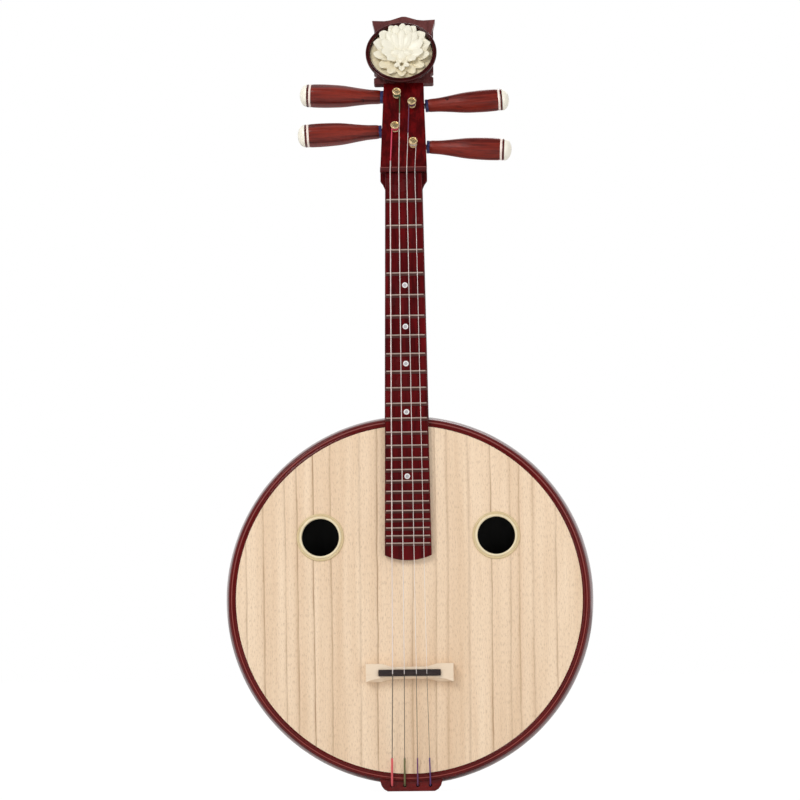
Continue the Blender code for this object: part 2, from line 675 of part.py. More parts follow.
# Worm, shaft and collar of one peg
def make_worm_shaft(number, peg, axis):
    root = WORM_PITCH_RADIUS - DEDENDUM
    lead = math.pi * MODULE
    reach = WORM_TURNS * lead / 2
    outside = head_side_distance(peg)
    shoulder = reach + 0.5 * lead
    collar = outside + 2 * GAP + abs(math.tan(peg[3])) * COLLAR_RADIUS
    profile = [
        (0.0, -reach - lead / 2), (root, -reach - lead / 2), (root, shoulder),
        (SHAFT_RADIUS, shoulder), (SHAFT_RADIUS, collar),
        (COLLAR_RADIUS, collar), (COLLAR_RADIUS, collar + COLLAR_LENGTH),
        (SHAFT_RADIUS, collar + COLLAR_LENGTH), (SHAFT_RADIUS, collar + COLLAR_LENGTH + SHAFT_SOCKET),
        (0.0, collar + COLLAR_LENGTH + SHAFT_SOCKET)]
    shaft = spun("worm_shaft_%d" % number, profile, POST_STEPS, STEEL, axis)
    rings = []
    steps = WORM_TURNS * THREAD_STEPS
    runout = THREAD_STEPS / 2
    for step in range(steps + 1):
        turn = step / THREAD_STEPS - WORM_TURNS / 2
        angle = math.tau * turn
        fade = min(1.0, step / runout, (steps - step) / runout)
        ring = []
        for radius, widen in ((root - GAP, 1), (root + fade * (ADDENDUM + DEDENDUM), 1),
                              (root + fade * (ADDENDUM + DEDENDUM), -1), (root - GAP, -1)):
            half = TOOTH_HALF - (radius - WORM_PITCH_RADIUS) * math.tan(FLANK_ANGLE)
            along = turn * lead + widen * half
            ring.append((math.cos(angle) * radius, math.sin(angle) * radius, along))
        rings.append(ring)
    thread = lofted("join_thread_%d" % number, rings, None, axis)
    join(shaft, thread)
    return collar + COLLAR_LENGTH


# Wooden handle and its cap
def make_handle(number, side, axis, start):
    base = start + GAP
    shares = ((0.0, 0.0), (0.28, 0.35), (0.49, 0.80), (0.76, 1.0), (1.0, 0.93))
    rings = []
    length = HANDLE_LENGTH + PEG_RING_LENGTH
    for share, swell in shares:
        radius = HANDLE_NECK_RADIUS + swell * (HANDLE_RADIUS - HANDLE_NECK_RADIUS)
        corners = []
        for corner in range(12):
            bevel = HANDLE_CORNER if corner % 2 else -HANDLE_CORNER
            angle = math.tau * (corner // 2) / 6 + bevel + HANDLE_TURN[side]
            corners.append((math.cos(angle) * radius, math.sin(angle) * radius, base + share * length))
        rings.append(corners)
    handle = lofted("peg_handle_%d" % number, rings, PEG_WOOD, axis)
    bore = SHAFT_RADIUS + GAP
    end = start + SHAFT_SOCKET + GAP
    profile = [(0.0, end), (bore, end), (bore, base - GAP), (0.0, base - GAP)]
    cut(handle, spun("cut_shaft_socket_%d" % number, profile, POST_STEPS, None, axis))
    top = base + length
    tenon = PEG_CAP_TENON_RADIUS
    depth = top - PEG_CAP_TENON_LENGTH
    profile = [(0.0, top + GAP), (tenon + GAP, top + GAP), (tenon + GAP, depth - GAP), (0.0, depth - GAP)]
    cut(handle, spun("cut_cap_socket_%d" % number, profile, PEG_CAP_STEPS, None, axis))
    seat = top + GAP
    dome = [
        (math.cos(angle) * PEG_CAP_RADIUS, seat + math.sin(angle) * PEG_CAP_LENGTH)
        for angle in (math.pi / 2 * step / 4 for step in range(5))]
    dome[-1] = (0.0, seat + PEG_CAP_LENGTH)
    profile = list(reversed(dome)) + [(tenon, seat), (tenon, depth), (0.0, depth)]
    spun("peg_cap_%d" % number, profile, PEG_CAP_STEPS, IVORY, axis)


# String post with its worm wheel
def make_post(number, peg):
    axis = empty("post_axis_%d" % number, post_frame(peg), head)
    washer = GAP + POST_WASHER_THICKNESS
    under_cap = POST_HEIGHT - POST_CAP_THICKNESS
    wheel_front = -WORM_DEPTH + WHEEL_WIDTH / 2
    root = MODULE * WHEEL_TEETH / 2 - DEDENDUM
    end = -WORM_DEPTH - WHEEL_WIDTH / 2 - POST_TAIL
    rim = POST_CAP_RADIUS - POST_CAP_LIP
    dish = POST_HEIGHT - POST_CAP_DISH
    profile = [
        (0.0, dish), (0.8 * rim, dish), (rim, POST_HEIGHT),
        (POST_CAP_RADIUS, dish), (POST_CAP_RADIUS, under_cap), (POST_RADIUS, under_cap),
        (POST_RADIUS, washer), (POST_WASHER_RADIUS, washer), (POST_WASHER_RADIUS, GAP), (POST_RADIUS, GAP),
        (POST_RADIUS, end), (0.0, end)]
    post = spun("string_post_%d" % number, profile, POST_STEPS, BRASS, axis)
    pitch = MODULE * WHEEL_TEETH / 2
    tip = pitch + ADDENDUM
    twist = math.pi * MODULE / (math.tau * WORM_PITCH_RADIUS) / pitch
    rings = []
    for share in (-0.5, 0.5):
        z = share * WHEEL_WIDTH
        ring = []
        for tooth in range(WHEEL_TEETH):
            centre = math.tau * (tooth + 0.5) / WHEEL_TEETH + WHEEL_HAND * z * twist
            for radius, sign in ((root, -1), (tip, -1), (tip, 1), (root, 1)):
                half = TOOTH_HALF - (radius - pitch) * math.tan(FLANK_ANGLE)
                angle = centre + sign * half / radius
                ring.append((math.cos(angle) * radius, math.sin(angle) * radius, z - WORM_DEPTH))
        rings.append(ring)
    wheel = lofted("join_wheel_%d" % number, rings, None, axis)
    join(post, wheel)
    hole = STRING_HOLE_RADIUS
    height = washer + 0.7 * (under_cap - washer)
    place = Matrix.Translation((0, 0, height)) @ Matrix.Rotation(math.pi / 2, 4, "X")
    profile = [(0.0, POST_CAP_RADIUS), (hole, POST_CAP_RADIUS), (hole, -POST_CAP_RADIUS), (0.0, -POST_CAP_RADIUS)]
    cut(post, spun("cut_string_hole_%d" % number, profile, 8, None, axis, place))


# Head ornament: crest block, turned dish and carved flower
def make_ornament():
    start = HEAD_LENGTH + GAP
    top = start + CREST_LENGTH
    block_half = CREST_BLOCK_WIDTH / 2
    low = start + CREST_EAR_RISE
    ear = low + CREST_EAR_LENGTH
    waist = ear + CREST_WAIST
    inner = block_half - CREST_WAIST
    bevel = CREST_BEVEL
    right = [
        (block_half - bevel, low), (block_half, low + bevel), (block_half, ear - bevel),
        (block_half - bevel, ear), (inner, ear), (inner, waist), (block_half, waist + CREST_WAIST),
        (block_half, top - CREST_WAIST)]
    block = prism("head_crest", mirrored(right), -CREST_WING_BACK, -CREST_FRONT_DEPTH, LACQUER, head)
    right = [(HEAD_TOP_WIDTH / 2, start), (HEAD_TOP_WIDTH / 2, top - 2 * CREST_WAIST)]
    core = prism("join_crest_core", mirrored(right), -HEAD_DEPTH, -CREST_WAIST, None, head)
    join(block, core)
    half = CREST_TOP_WIDTH / 2
    base_half = HEAD_TOP_WIDTH / 2
    right = [(base_half, start)]
    for share in (0.25, 0.5, 0.75):
        right.append((base_half + (half - base_half) * share ** 1.5, start + share * CREST_LENGTH))
    right += [(half, top), (0.62 * half, top - 0.15 * CREST_PEAK), (0.42 * half, top + 0.05 * CREST_PEAK),
              (0.20 * half, top + 0.62 * CREST_PEAK), (0.06 * half, top + 0.97 * CREST_PEAK)]
    fan = prism("join_crest_front", mirrored(right), -CREST_FRONT_DEPTH - CREST_WAIST, 0.0, None, head)
    join(block, fan)
    place = Matrix.Translation((DISC_OFFSET_X, HEAD_LENGTH + DISC_CENTRE_RISE, GAP))
    bead = (DISC_RADIUS + DISC_INNER_RADIUS) / 2
    floor = DISC_DEPTH - DISC_DISH_DEPTH
    profile = [
        (0.0, 0.0), (DISC_FOOT_RADIUS, 0.0), (0.93 * DISC_RADIUS, 0.40 * DISC_DEPTH),
        (DISC_RADIUS, 0.72 * DISC_DEPTH), (DISC_RADIUS, 0.90 * DISC_DEPTH), (bead, DISC_DEPTH),
        (DISC_INNER_RADIUS, 0.90 * DISC_DEPTH), (DISC_INNER_RADIUS, floor), (0.0, floor)]
    spun("head_disc", profile, DISC_STEPS, LACQUER, head, place)
    make_flower(place @ Matrix.Translation((0, 0, floor + GAP)))


def make_flower(place):
    """A shallow dome with a scalloped edge and three rows of petals."""
    bm = bmesh.new()
    edge = DISC_INNER_RADIUS - GAP
    rows = ((0.995, 0.30, 0.05), (0.93, 0.62, 0.09), (0.72, 0.78, 0.10), (0.52, 0.92, 0.12), (0.25, 0.70, 0.10))
    loops = []
    bottom = [bm.verts.new((
        math.cos(math.tau * i / FLOWER_STEPS) * edge * 0.985,
        math.sin(math.tau * i / FLOWER_STEPS) * edge * 0.985, 0.0)) for i in range(FLOWER_STEPS)]
    loops.append(bottom)
    for number, (share, rise, ripple) in enumerate(rows):
        loop = []
        for i in range(FLOWER_STEPS):
            angle = math.tau * i / FLOWER_STEPS
            wave = math.cos(5 * angle + math.pi * number)
            lift = FLOWER_HEIGHT * (rise + ripple * wave + 0.18 * math.sin(angle) * rise)
            loop.append(bm.verts.new((math.cos(angle) * edge * share, math.sin(angle) * edge * share, lift)))
        loops.append(loop)
    for lower, upper in zip(loops, loops[1:]):
        for i in range(FLOWER_STEPS):
            j = (i + 1) % FLOWER_STEPS
            bm.faces.new((lower[i], lower[j], upper[j], upper[i]))
    centre = bm.verts.new((0, 0, FLOWER_HEIGHT * 0.55))
    for i in range(FLOWER_STEPS):
        bm.faces.new((loops[-1][i], loops[-1][(i + 1) % FLOWER_STEPS], centre))
    bm.faces.new(list(reversed(bottom)))
    add_bmesh("head_flower", bm, IVORY, head, place, smooth=True)


# Strings: each one tube from the tail block over saddle and nut to its post
def tangent_point(start, centre, radius, side):
    """Where a line from a point touches a circle, on the side of increasing or lesser x."""
    reach = centre - start
    distance = reach.length
    turn = math.asin(radius / distance)
    heading = math.atan2(reach.y, reach.x) - side * turn
    along = math.sqrt(distance * distance - radius * radius)
    return start + Vector((math.cos(heading), math.sin(heading))) * along


def string_route(index):
    """Points and radii of one string, in face coordinates."""
    tail_x, saddle_x, nut_x, thin, silk_tail, silk_head = STRINGS[index]
    peg = next(item for item in PEGS if item[4] == index)
    side = STRING_LEAVES[index]
    saddle = Vector((saddle_x, SADDLE_Y, SADDLE_NOTCH_HEIGHT + GAP + thin))
    nut = Vector((nut_x, NUT_Y + NUT_LAND, NUT_NOTCH_HEIGHT + GAP + thin))
    rim_low = BODY_CENTRE - RING_EDGE_RADIUS
    over_rim = Vector((tail_x, rim_low + 0.0015, GAP + silk_tail + 0.0004))
    block_face = -TAIL_SETBACK
    points = [
        (Vector((tail_x, TAIL_HOLE_HEIGHT, block_face - STRING_ENTRY)), silk_tail),
        (Vector((tail_x, TAIL_HOLE_HEIGHT, block_face - 0.8 * silk_tail)), silk_tail),
        (Vector((tail_x, TAIL_HOLE_HEIGHT + silk_tail / 2, block_face + silk_tail + GAP)), silk_tail)]
    points.append((over_rim, silk_tail))
    line = saddle - over_rim
    share = SILK_TAIL_LENGTH / line.length
    points.append((over_rim + line * share, silk_tail))
    points.append((over_rim + line * (share + 0.01), thin))
    points.append((saddle, thin))
    points.append((nut, thin))
    coil = POST_RADIUS + GAP + silk_head
    centre = Vector((peg[1], peg[2]))
    local = head_place.inverted() @ nut
    touch = tangent_point(Vector((local.x, local.y)), centre, coil, side)
    height = GAP + POST_WASHER_THICKNESS + GAP + silk_head
    arrive = Vector((touch.x, touch.y, height))
    run = arrive - local
    silk = SILK_HEAD_LENGTH[index]
    if silk > 0:
        share = 1 - silk / run.length
        points.append((head_place @ (local + run * (share - 0.01)), thin))
        points.append((head_place @ (local + run * share), silk_head))
    first = math.atan2(touch.y - centre.y, touch.x - centre.x)
    pitch = 2 * silk_head + WINDING_GAP
    coil_points = []
    for step in range(round(WINDING_LOOPS * LOOP_POINTS) + 1):
        turn = step / LOOP_POINTS
        angle = first + side * math.tau * turn
        spot = Vector((centre.x + math.cos(angle) * coil, centre.y + math.sin(angle) * coil, height + pitch * turn))
        coil_points.append(spot)
        points.append((head_place @ spot, silk_head))
    print("string_%d least gap to itself: %.2f mm" % (index + 1, 1000 * least_gap(coil_points, silk_head)))
    return points


def least_gap(points, radius):
    """Least distance between the tube's surfaces at points more than half a loop apart."""
    least = 1.0
    for i, one in enumerate(points):
        for other in points[i + LOOP_POINTS // 2:]:
            least = min(least, (one - other).length - 2 * radius)
    return least


def make_string(index):
    points = string_route(index)
    curve = bpy.data.curves.new("string_%d" % (index + 1), "CURVE")
    curve.dimensions = "3D"
    curve.bevel_depth = STRINGS[index][3]
    curve.bevel_resolution = 1
    curve.use_fill_caps = True
    spline = curve.splines.new("POLY")
    spline.points.add(len(points) - 1)
    for spot, (position, radius) in zip(spline.points, points):
        spot.co = (*position, 1.0)
        spot.radius = radius / STRINGS[index][3]
    curve.materials.append(STRING_STEEL)
    piece = bpy.data.objects.new("string_%d" % (index + 1), curve)
    bpy.context.collection.objects.link(piece)
    piece.parent = face


make_rim()
make_boards()
make_tail_block()
make_neck()
make_fingerboard()
make_frets()
make_nut()
make_bridge()
for count, item in enumerate(PEGS, 1):
    peg_axis = empty("peg_axis_%d" % count, peg_frame(item), head)
    handle_start = make_worm_shaft(count, item, peg_axis)
    make_handle(count, item[0], peg_axis, handle_start)
    make_post(count, item)
make_ornament()
for count in range(len(STRINGS)):
    make_string(count)
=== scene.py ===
import json
import math

import bmesh
import bpy
from mathutils import Matrix, Vector


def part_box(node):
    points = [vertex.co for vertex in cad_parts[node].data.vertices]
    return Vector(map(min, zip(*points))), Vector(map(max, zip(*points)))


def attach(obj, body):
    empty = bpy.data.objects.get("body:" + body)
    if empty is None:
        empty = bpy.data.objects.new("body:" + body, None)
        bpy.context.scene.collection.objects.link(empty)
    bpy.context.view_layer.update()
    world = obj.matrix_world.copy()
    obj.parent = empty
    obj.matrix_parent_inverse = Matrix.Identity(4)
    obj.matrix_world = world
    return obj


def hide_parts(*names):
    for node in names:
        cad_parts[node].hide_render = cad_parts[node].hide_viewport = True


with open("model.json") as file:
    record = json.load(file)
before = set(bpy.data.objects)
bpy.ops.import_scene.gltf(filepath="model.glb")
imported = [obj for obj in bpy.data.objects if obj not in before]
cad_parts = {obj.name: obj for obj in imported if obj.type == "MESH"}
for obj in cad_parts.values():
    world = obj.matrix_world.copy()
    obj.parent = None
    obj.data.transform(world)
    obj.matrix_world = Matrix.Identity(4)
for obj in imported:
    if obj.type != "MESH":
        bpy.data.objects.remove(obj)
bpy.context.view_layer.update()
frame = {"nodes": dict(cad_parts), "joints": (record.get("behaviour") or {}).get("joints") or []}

# Studio: a white sweep, an even front light and a camera a little right of the instrument,
# low down near the middle of the body and tipped up. The room behind the camera is dim, so
# gloss on the front stays deep while the sides pick up the white sweep.
CAMERA_PLACE = Vector((0.087, -3.032, 0.1635))
CAMERA_TARGET = Vector((-0.0083866, -0.032, 0.4994704))
CAMERA_ROLL = -0.0121671
CAMERA_FOCAL_PIXELS = 2338.136
CAMERA_FAR = 60.0
PICTURE_PIXELS = 800
SENSOR_WIDTH = 36.0
LAMPS = (
    # name, place, watts, side of its square
    ("key_lamp", (-1.7, -2.7, 2.5), 56.0, 1.3),
    ("fill_lamp", (2.3, -2.6, 0.8), 22.0, 1.8),
    ("back_lamp", (0.6, 1.8, 2.4), 16.0, 1.2),
)
LAMP_TARGET = Vector((0, 0, 0.5))
AMBIENT = 0.56
ROOM = 0.07
SWEEP_MIRRORED = (-0.35, 0.25)
FLOOR_REACH = 20
FLOOR_DROP = 0.0006
FLOOR_GLOW = 1.05
FLOOR_GLOW_SHARE = 0.93


class Field:
    """A number or a colour that varies over a surface: one output of a shader node."""

    # A Mix node's colour sockets by number: its factor, both colours and its result.
    MIX_FACTOR, MIX_LOW, MIX_HIGH, MIX_RESULT = 0, 6, 7, 2

    def __init__(self, tree, socket=None):
        self.tree = tree
        self.socket = socket

    def node(self, kind, settings=(), inputs=(), output=0):
        """Add a node: its settings first, then the values or links of its sockets."""
        made = self.tree.nodes.new(kind)
        for key, value in dict(settings).items():
            if key == "stops":
                while len(made.color_ramp.elements) < len(value):
                    made.color_ramp.elements.new(1.0)
                for element, (position, colour) in zip(made.color_ramp.elements, value):
                    element.position = position
                    element.color = (*colour, 1.0)
            else:
                setattr(made, key, value)
        for key, value in dict(inputs).items():
            if isinstance(value, Field):
                self.tree.links.new(value.socket, made.inputs[key])
            else:
                made.inputs[key].default_value = value
        return Field(self.tree, made.outputs[output])

    def maths(self, operation, *values):
        return self.node("ShaderNodeMath", {"operation": operation}, enumerate(values))

    def __add__(self, other):
        return self.maths("ADD", self, other)

    def __radd__(self, other):
        return self.maths("ADD", other, self)

    def __sub__(self, other):
        return self.maths("SUBTRACT", self, other)

    def __rsub__(self, other):
        return self.maths("SUBTRACT", other, self)

    def __mul__(self, other):
        return self.maths("MULTIPLY", self, other)

    def __rmul__(self, other):
        return self.maths("MULTIPLY", other, self)

    def __pow__(self, other):
        return self.maths("POWER", self, other)

    def __lt__(self, other):
        return self.maths("LESS_THAN", self, other)

    def __gt__(self, other):
        return self.maths("GREATER_THAN", self, other)

    def larger(self, other):
        return self.maths("MAXIMUM", self, other)

    def rise(self, low, high):
        """0 below low, 1 above high, smooth between."""
        values = {"Value": self, "From Min": low, "From Max": high}
        return self.node("ShaderNodeMapRange", {"interpolation_type": "SMOOTHSTEP"}, values)

    def blend(self, low, high):
        """The colour low where this is 0, and high where it is 1."""
        low, high = (value if isinstance(value, Field) else (*value, 1.0) for value in (low, high))
        inputs = {self.MIX_FACTOR: self, self.MIX_LOW: low, self.MIX_HIGH: high}
        return self.node("ShaderNodeMix", {"data_type": "RGBA"}, inputs, self.MIX_RESULT)


class Finish:
    """One material: a Principled shader fed with numbers, colours or fields."""

    def __init__(self, name, colour=None, roughness=None, metallic=None):
        self.material = bpy.data.materials.new(name)
        self.material.use_nodes = True
        self.tree = self.material.node_tree
        self.start = Field(self.tree)
        self.place = self.start.node("ShaderNodeTexCoord", output="Object")
        for key, value in (("Base Color", colour), ("Roughness", roughness), ("Metallic", metallic)):
            if value is not None:
                self.set(key, value)

    def set(self, key, value):
        socket = self.tree.nodes["Principled BSDF"].inputs[key]
        if isinstance(value, Field):
            self.tree.links.new(value.socket, socket)
        elif isinstance(value, tuple):
            socket.default_value = (*value, 1.0)
        else:
            socket.default_value = value

    def axis(self, letter):
        """The X, Y or Z of the surface, from the piece's own origin."""
        return self.start.node("ShaderNodeSeparateXYZ", inputs={"Vector": self.place}, output=letter)

    def reach(self):
        """Distance of the surface from the piece's own z axis."""
        flat = self.start.node(
            "ShaderNodeVectorMath", {"operation": "MULTIPLY"}, {0: self.place, 1: (1, 1, 0)})
        return self.start.node("ShaderNodeVectorMath", {"operation": "LENGTH"}, {0: flat}, "Value")

    def noise(self, scale, stretch=(1, 1, 1), detail=3.0, roughness=0.55):
        """Noise over the piece; stretch squeezes it along each axis."""
        spot = self.start.node("ShaderNodeMapping", inputs={"Vector": self.place, "Scale": stretch})
        inputs = {"Vector": spot, "Scale": scale, "Detail": detail, "Roughness": roughness}
        return self.start.node("ShaderNodeTexNoise", {}, inputs)

    def bump(self, height, distance, strength=1.0):
        inputs = {"Height": height, "Distance": distance, "Strength": strength}
        self.set("Normal", self.start.node("ShaderNodeBump", {}, inputs))


def add_object(name, data):
    made = bpy.data.objects.new(name, data)
    bpy.context.collection.objects.link(made)
    return made


camera_data = bpy.data.cameras.new("camera")
camera_data.sensor_width = SENSOR_WIDTH
camera_data.lens = CAMERA_FOCAL_PIXELS / PICTURE_PIXELS * SENSOR_WIDTH
camera_data.clip_end = CAMERA_FAR
camera = add_object("camera", camera_data)
forward = (CAMERA_TARGET - CAMERA_PLACE).normalized()
level = forward.cross(Vector((0, 0, 1))).normalized()
camera_axes = Matrix((level, level.cross(forward), -forward)).transposed().to_4x4()
camera_roll = Matrix.Rotation(CAMERA_ROLL, 4, "Z")
camera.matrix_world = Matrix.Translation(CAMERA_PLACE) @ camera_axes @ camera_roll
bpy.context.scene.camera = camera
bpy.context.scene.view_settings.view_transform = "Standard"

for lamp_name, lamp_place, lamp_power, lamp_size in LAMPS:
    lamp_data = bpy.data.lights.new(lamp_name, "AREA")
    lamp_data.energy = lamp_power
    lamp_data.size = lamp_size
    lamp = add_object(lamp_name, lamp_data)
    lamp.location = lamp_place
    lamp.rotation_euler = (LAMP_TARGET - lamp.location).to_track_quat("-Z", "Y").to_euler()

world = bpy.data.worlds.new("white_sweep")
bpy.context.scene.world = world
world.use_nodes = True
sky = Field(world.node_tree)
camera_ray = sky.node("ShaderNodeLightPath", output="Is Camera Ray")
glossy_ray = sky.node("ShaderNodeLightPath", output="Is Glossy Ray")
clear_ray = sky.node("ShaderNodeLightPath", output="Is Transmission Ray")
facing = sky.node("ShaderNodeTexCoord", output="Generated")
away = sky.node("ShaderNodeSeparateXYZ", inputs={"Vector": facing}, output="Y").rise(*SWEEP_MIRRORED)
mirrored_room = ROOM + (1.0 - ROOM) * away
mirror_ray = glossy_ray.larger(clear_ray)
unseen = mirror_ray * mirrored_room + (1.0 - mirror_ray) * AMBIENT
strength = camera_ray + (1.0 - camera_ray) * unseen
background = world.node_tree.nodes["Background"]
background.inputs["Color"].default_value = (1, 1, 1, 1)
world.node_tree.links.new(strength.socket, background.inputs["Strength"])

corners = ((-1, -1), (1, -1), (1, 1), (-1, 1))
floor_mesh = bpy.data.meshes.new("floor")
floor_mesh.from_pydata([(x * FLOOR_REACH, y * FLOOR_REACH, 0) for x, y in corners], [], [(0, 1, 2, 3)])
floor = add_object("floor", floor_mesh)
floor.location.z = -FLOOR_DROP
floor_finish = Finish("white_floor", (0.85, 0.85, 0.85), 0.9)
floor_start, floor_nodes = floor_finish.start, floor_finish.tree.nodes
floor_glow = floor_start.node(
    "ShaderNodeEmission", inputs={"Color": (1, 1, 1, 1), "Strength": FLOOR_GLOW})
floor_seen = FLOOR_GLOW_SHARE * floor_start.node("ShaderNodeLightPath", output="Is Camera Ray")
floor_matt = Field(floor_finish.tree, floor_nodes["Principled BSDF"].outputs["BSDF"])
floor_mix = floor_start.node("ShaderNodeMixShader", inputs={0: floor_seen, 1: floor_matt, 2: floor_glow})
floor_finish.tree.links.new(floor_mix.socket, floor_nodes["Material Output"].inputs["Surface"])
floor_mesh.materials.append(floor_finish.material)

# Body rim: bent hardwood, bellied outwards, with a flat ring in front that is beaded along
# both edges. It is stained dark red and lacquered, with a thin pale band round the ring as a
# painted highlight; the inside is left bare and painted near-black as painted shade.
RED_DEEP = (0.044, 0.0012, 0.0020)
RED_BRIGHT = (0.160, 0.0036, 0.0045)
RIM_DEEP = (0.060, 0.0030, 0.0036)
RIM_BRIGHT = (0.150, 0.0085, 0.0072)
RING_HIGHLIGHT = (0.420, 0.130, 0.110)
INSIDE_SHADE = (0.0035, 0.0025, 0.0022)
RIM_STEPS = 216
RIM_WALL = 0.010
RIM_BEAD = 0.0011
RIM_RING_INSET = 0.0061
RIM_BACK_INSET = 0.0014
BELLY_STEPS = 24
BELLY_SPAN = 0.95
LINING_DEPTH = 0.0061
LINING_WIDTH = 0.008
LINING_FOOT = 0.016
INSIDE_START = 0.0055
INSIDE_MARGIN = 0.0001
RING_HIGHLIGHT_BAND = (0.2270, 0.2282)
RING_HIGHLIGHT_FADE = 0.0003
BOARD_GAP = 0.0003
BOARD_EDGE = 0.222
SMOOTH_ANGLE = 35.0


def lacquer_over(finish, grain, gloss):
    """Clear gloss over the pores of the wood, which it returns; grain stretches them."""
    pores = finish.noise(210.0, grain, 2.0)
    finish.set("Roughness", gloss + 0.12 * finish.noise(35.0).rise(0.45, 0.8))
    finish.bump(pores * 0.25 + finish.noise(9.0), 0.00012)
    finish.set("Specular IOR Level", 0.26)
    return pores


def red_lacquer(name, grain, deep=RED_DEEP, bright=RED_BRIGHT, gloss=0.16):
    """Stained hardwood under clear gloss; grain is how each axis stretches its figure."""
    stained = Finish(name)
    pores = lacquer_over(stained, grain, gloss)
    figure = stained.noise(26.0, grain, 4.0, 0.62)
    tone = (figure * 1.15 + pores * 0.35 - 0.28).rise(0.20, 0.84)
    stained.set("Base Color", tone.blend(deep, bright))
    return stained


def place_piece(name, mesh, finish, body, slot, *nodes, place=None, sharp=SMOOTH_ANGLE):
    """Link a mesh as a piece that rides on a body and stands for CAD nodes."""
    mesh.shade_smooth()
    mesh.set_sharp_from_angle(angle=math.radians(sharp))
    mesh.materials.clear()
    mesh.materials.append(finish.material)
    piece = add_object(name, mesh)
    if place is not None:
        piece.matrix_world = place
    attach(piece, body)
    if nodes:
        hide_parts(*nodes)
    return piece


def mesh_from(bm, name):
    mesh = bpy.data.meshes.new(name)
    bm.to_mesh(mesh)
    bm.free()
    return mesh


def turned_mesh(name, profile, steps):
    """Turn (radius, height) points about z; a profile that starts off the axis makes a ring."""
    bm = bmesh.new()
    verts = [bm.verts.new((radius, 0.0, height)) for radius, height in profile]
    edges = [bm.edges.new(pair) for pair in zip(verts, verts[1:])]
    if profile[0][0] > 0:
        edges.append(bm.edges.new((verts[-1], verts[0])))
    bmesh.ops.spin(bm, geom=verts + edges, cent=(0, 0, 0), axis=(0, 0, 1), angle=math.tau,
                   steps=steps, use_merge=True)
    bmesh.ops.remove_doubles(bm, verts=bm.verts, dist=1e-7)
    bmesh.ops.recalc_face_normals(bm, faces=bm.faces)
    return mesh_from(bm, name)


def place_turned(name, profile, steps, finish, body, slot, *nodes, place, sharp=SMOOTH_ANGLE):
    """A turned piece; the z axis of its place is the axis of the lathe."""
    mesh = turned_mesh(name, profile, steps)
    place_piece(name, mesh, finish, body, slot, *nodes, place=place, sharp=sharp)


def arc(centre, radius, start, end, steps):
    """Points of a round stretch of a profile, angles in degrees."""
    angles = [math.radians(start + (end - start) * step / steps) for step in range(steps + 1)]
    return [(centre[0] + radius * math.cos(a), centre[1] + radius * math.sin(a)) for a in angles]


def front_place(x, y, z):
    """A place whose z axis points out of the front of the instrument."""
    return Matrix.Translation((x, y, z)) @ Matrix.Rotation(math.pi / 2, 4, "X")


rim_low, rim_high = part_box("rim")
rim_radius = (rim_high.x - rim_low.x) / 2
rim_depth = rim_high.y - rim_low.y
body_centre = (rim_low.z + rim_high.z) / 2
ring_edge = rim_radius - RIM_RING_INSET
ring_inner = BOARD_EDGE + BOARD_GAP
wall_inner = rim_radius - RIM_WALL
lining_edge = ring_inner - LINING_WIDTH

rim_profile = arc((ring_inner + RIM_BEAD, -RIM_BEAD * 0.9), RIM_BEAD, 180, 20, 7)
rim_profile.append((ring_inner + 2.4 * RIM_BEAD, -RIM_BEAD * 0.75))
rim_profile.append((ring_edge - 3.4 * RIM_BEAD, -RIM_BEAD * 0.45))
rim_profile += arc((ring_edge - 1.6 * RIM_BEAD, -1.4 * RIM_BEAD), 1.4 * RIM_BEAD, 110, 25, 6)
for step in range(BELLY_STEPS + 1):
    share = BELLY_SPAN * (1 - 2 * step / BELLY_STEPS)
    rim_profile.append((rim_radius - RIM_RING_INSET * share * share, (share - 1) * rim_depth / 2))
rim_profile += [(ring_edge - RIM_BACK_INSET, -rim_depth), (ring_inner, -rim_depth)]
rim_profile += [(ring_inner, LINING_DEPTH - rim_depth), (lining_edge, LINING_DEPTH - rim_depth)]
rim_profile += [(wall_inner, LINING_FOOT - rim_depth), (wall_inner, -LINING_FOOT)]
rim_profile += [(lining_edge, -LINING_DEPTH), (ring_inner, -LINING_DEPTH)]

rim_finish = Finish("rim_lacquer")
lacquer_over(rim_finish, (1.0, 1.0, 6.0), 0.13)
rim_reach = rim_finish.reach()
rim_inside = (rim_reach < ring_inner - INSIDE_MARGIN) * (rim_finish.axis("Z") < -INSIDE_START)
rim_figure = rim_finish.noise(22.0, (1.0, 1.0, 5.0), 4.0).blend(RIM_DEEP, RIM_BRIGHT)
# painted highlight: a thin pale band across the front ring
highlight_in, highlight_out = (
    rim_reach.rise(edge - RING_HIGHLIGHT_FADE, edge + RING_HIGHLIGHT_FADE) for edge in RING_HIGHLIGHT_BAND)
rim_highlighted = (highlight_in * (1.0 - highlight_out) * 0.5).blend(rim_figure, RING_HIGHLIGHT)
# painted shade: the inside of the rim is painted near-black, as no light reaches into the body
rim_finish.set("Base Color", rim_inside.blend(rim_highlighted, INSIDE_SHADE))
place_turned("body_rim", rim_profile, RIM_STEPS, rim_finish, "root", "red_lacquer", "rim",
             place=front_place(0, rim_low.y, body_centre))

# Soundboard and back: quarter-sawn paulownia planed thin and left bare. Its growth lines run
# the length of the instrument, each soft on one side and crisp on the other.
BOARD_PALE = (0.920, 0.725, 0.525)
BOARD_WARM = (0.770, 0.560, 0.372)
BOARD_LINE = (0.400, 0.240, 0.130)
BRACE_BROWN = (0.020, 0.013, 0.008)
GRAIN_LINES = (
    -0.2076, -0.1853, -0.1573, -0.1423, -0.1214, -0.0985, -0.0614, -0.0399,
    0.0058, 0.0353, 0.0500, 0.0776, 0.1060, 0.1309, 0.1428, 0.1607, 0.1895)
GRAIN_SHIFT = 0.0061
GRAIN_SOFT = 0.0052
GRAIN_CRISP = 0.0011
# a colour ramp holds 32 stops, and a line takes three
LINES_ON_A_RAMP = 9
HOLE_RADIUS = 0.0240
HOLE_STEPS = 72
RING_NECK_WALL = 0.0027


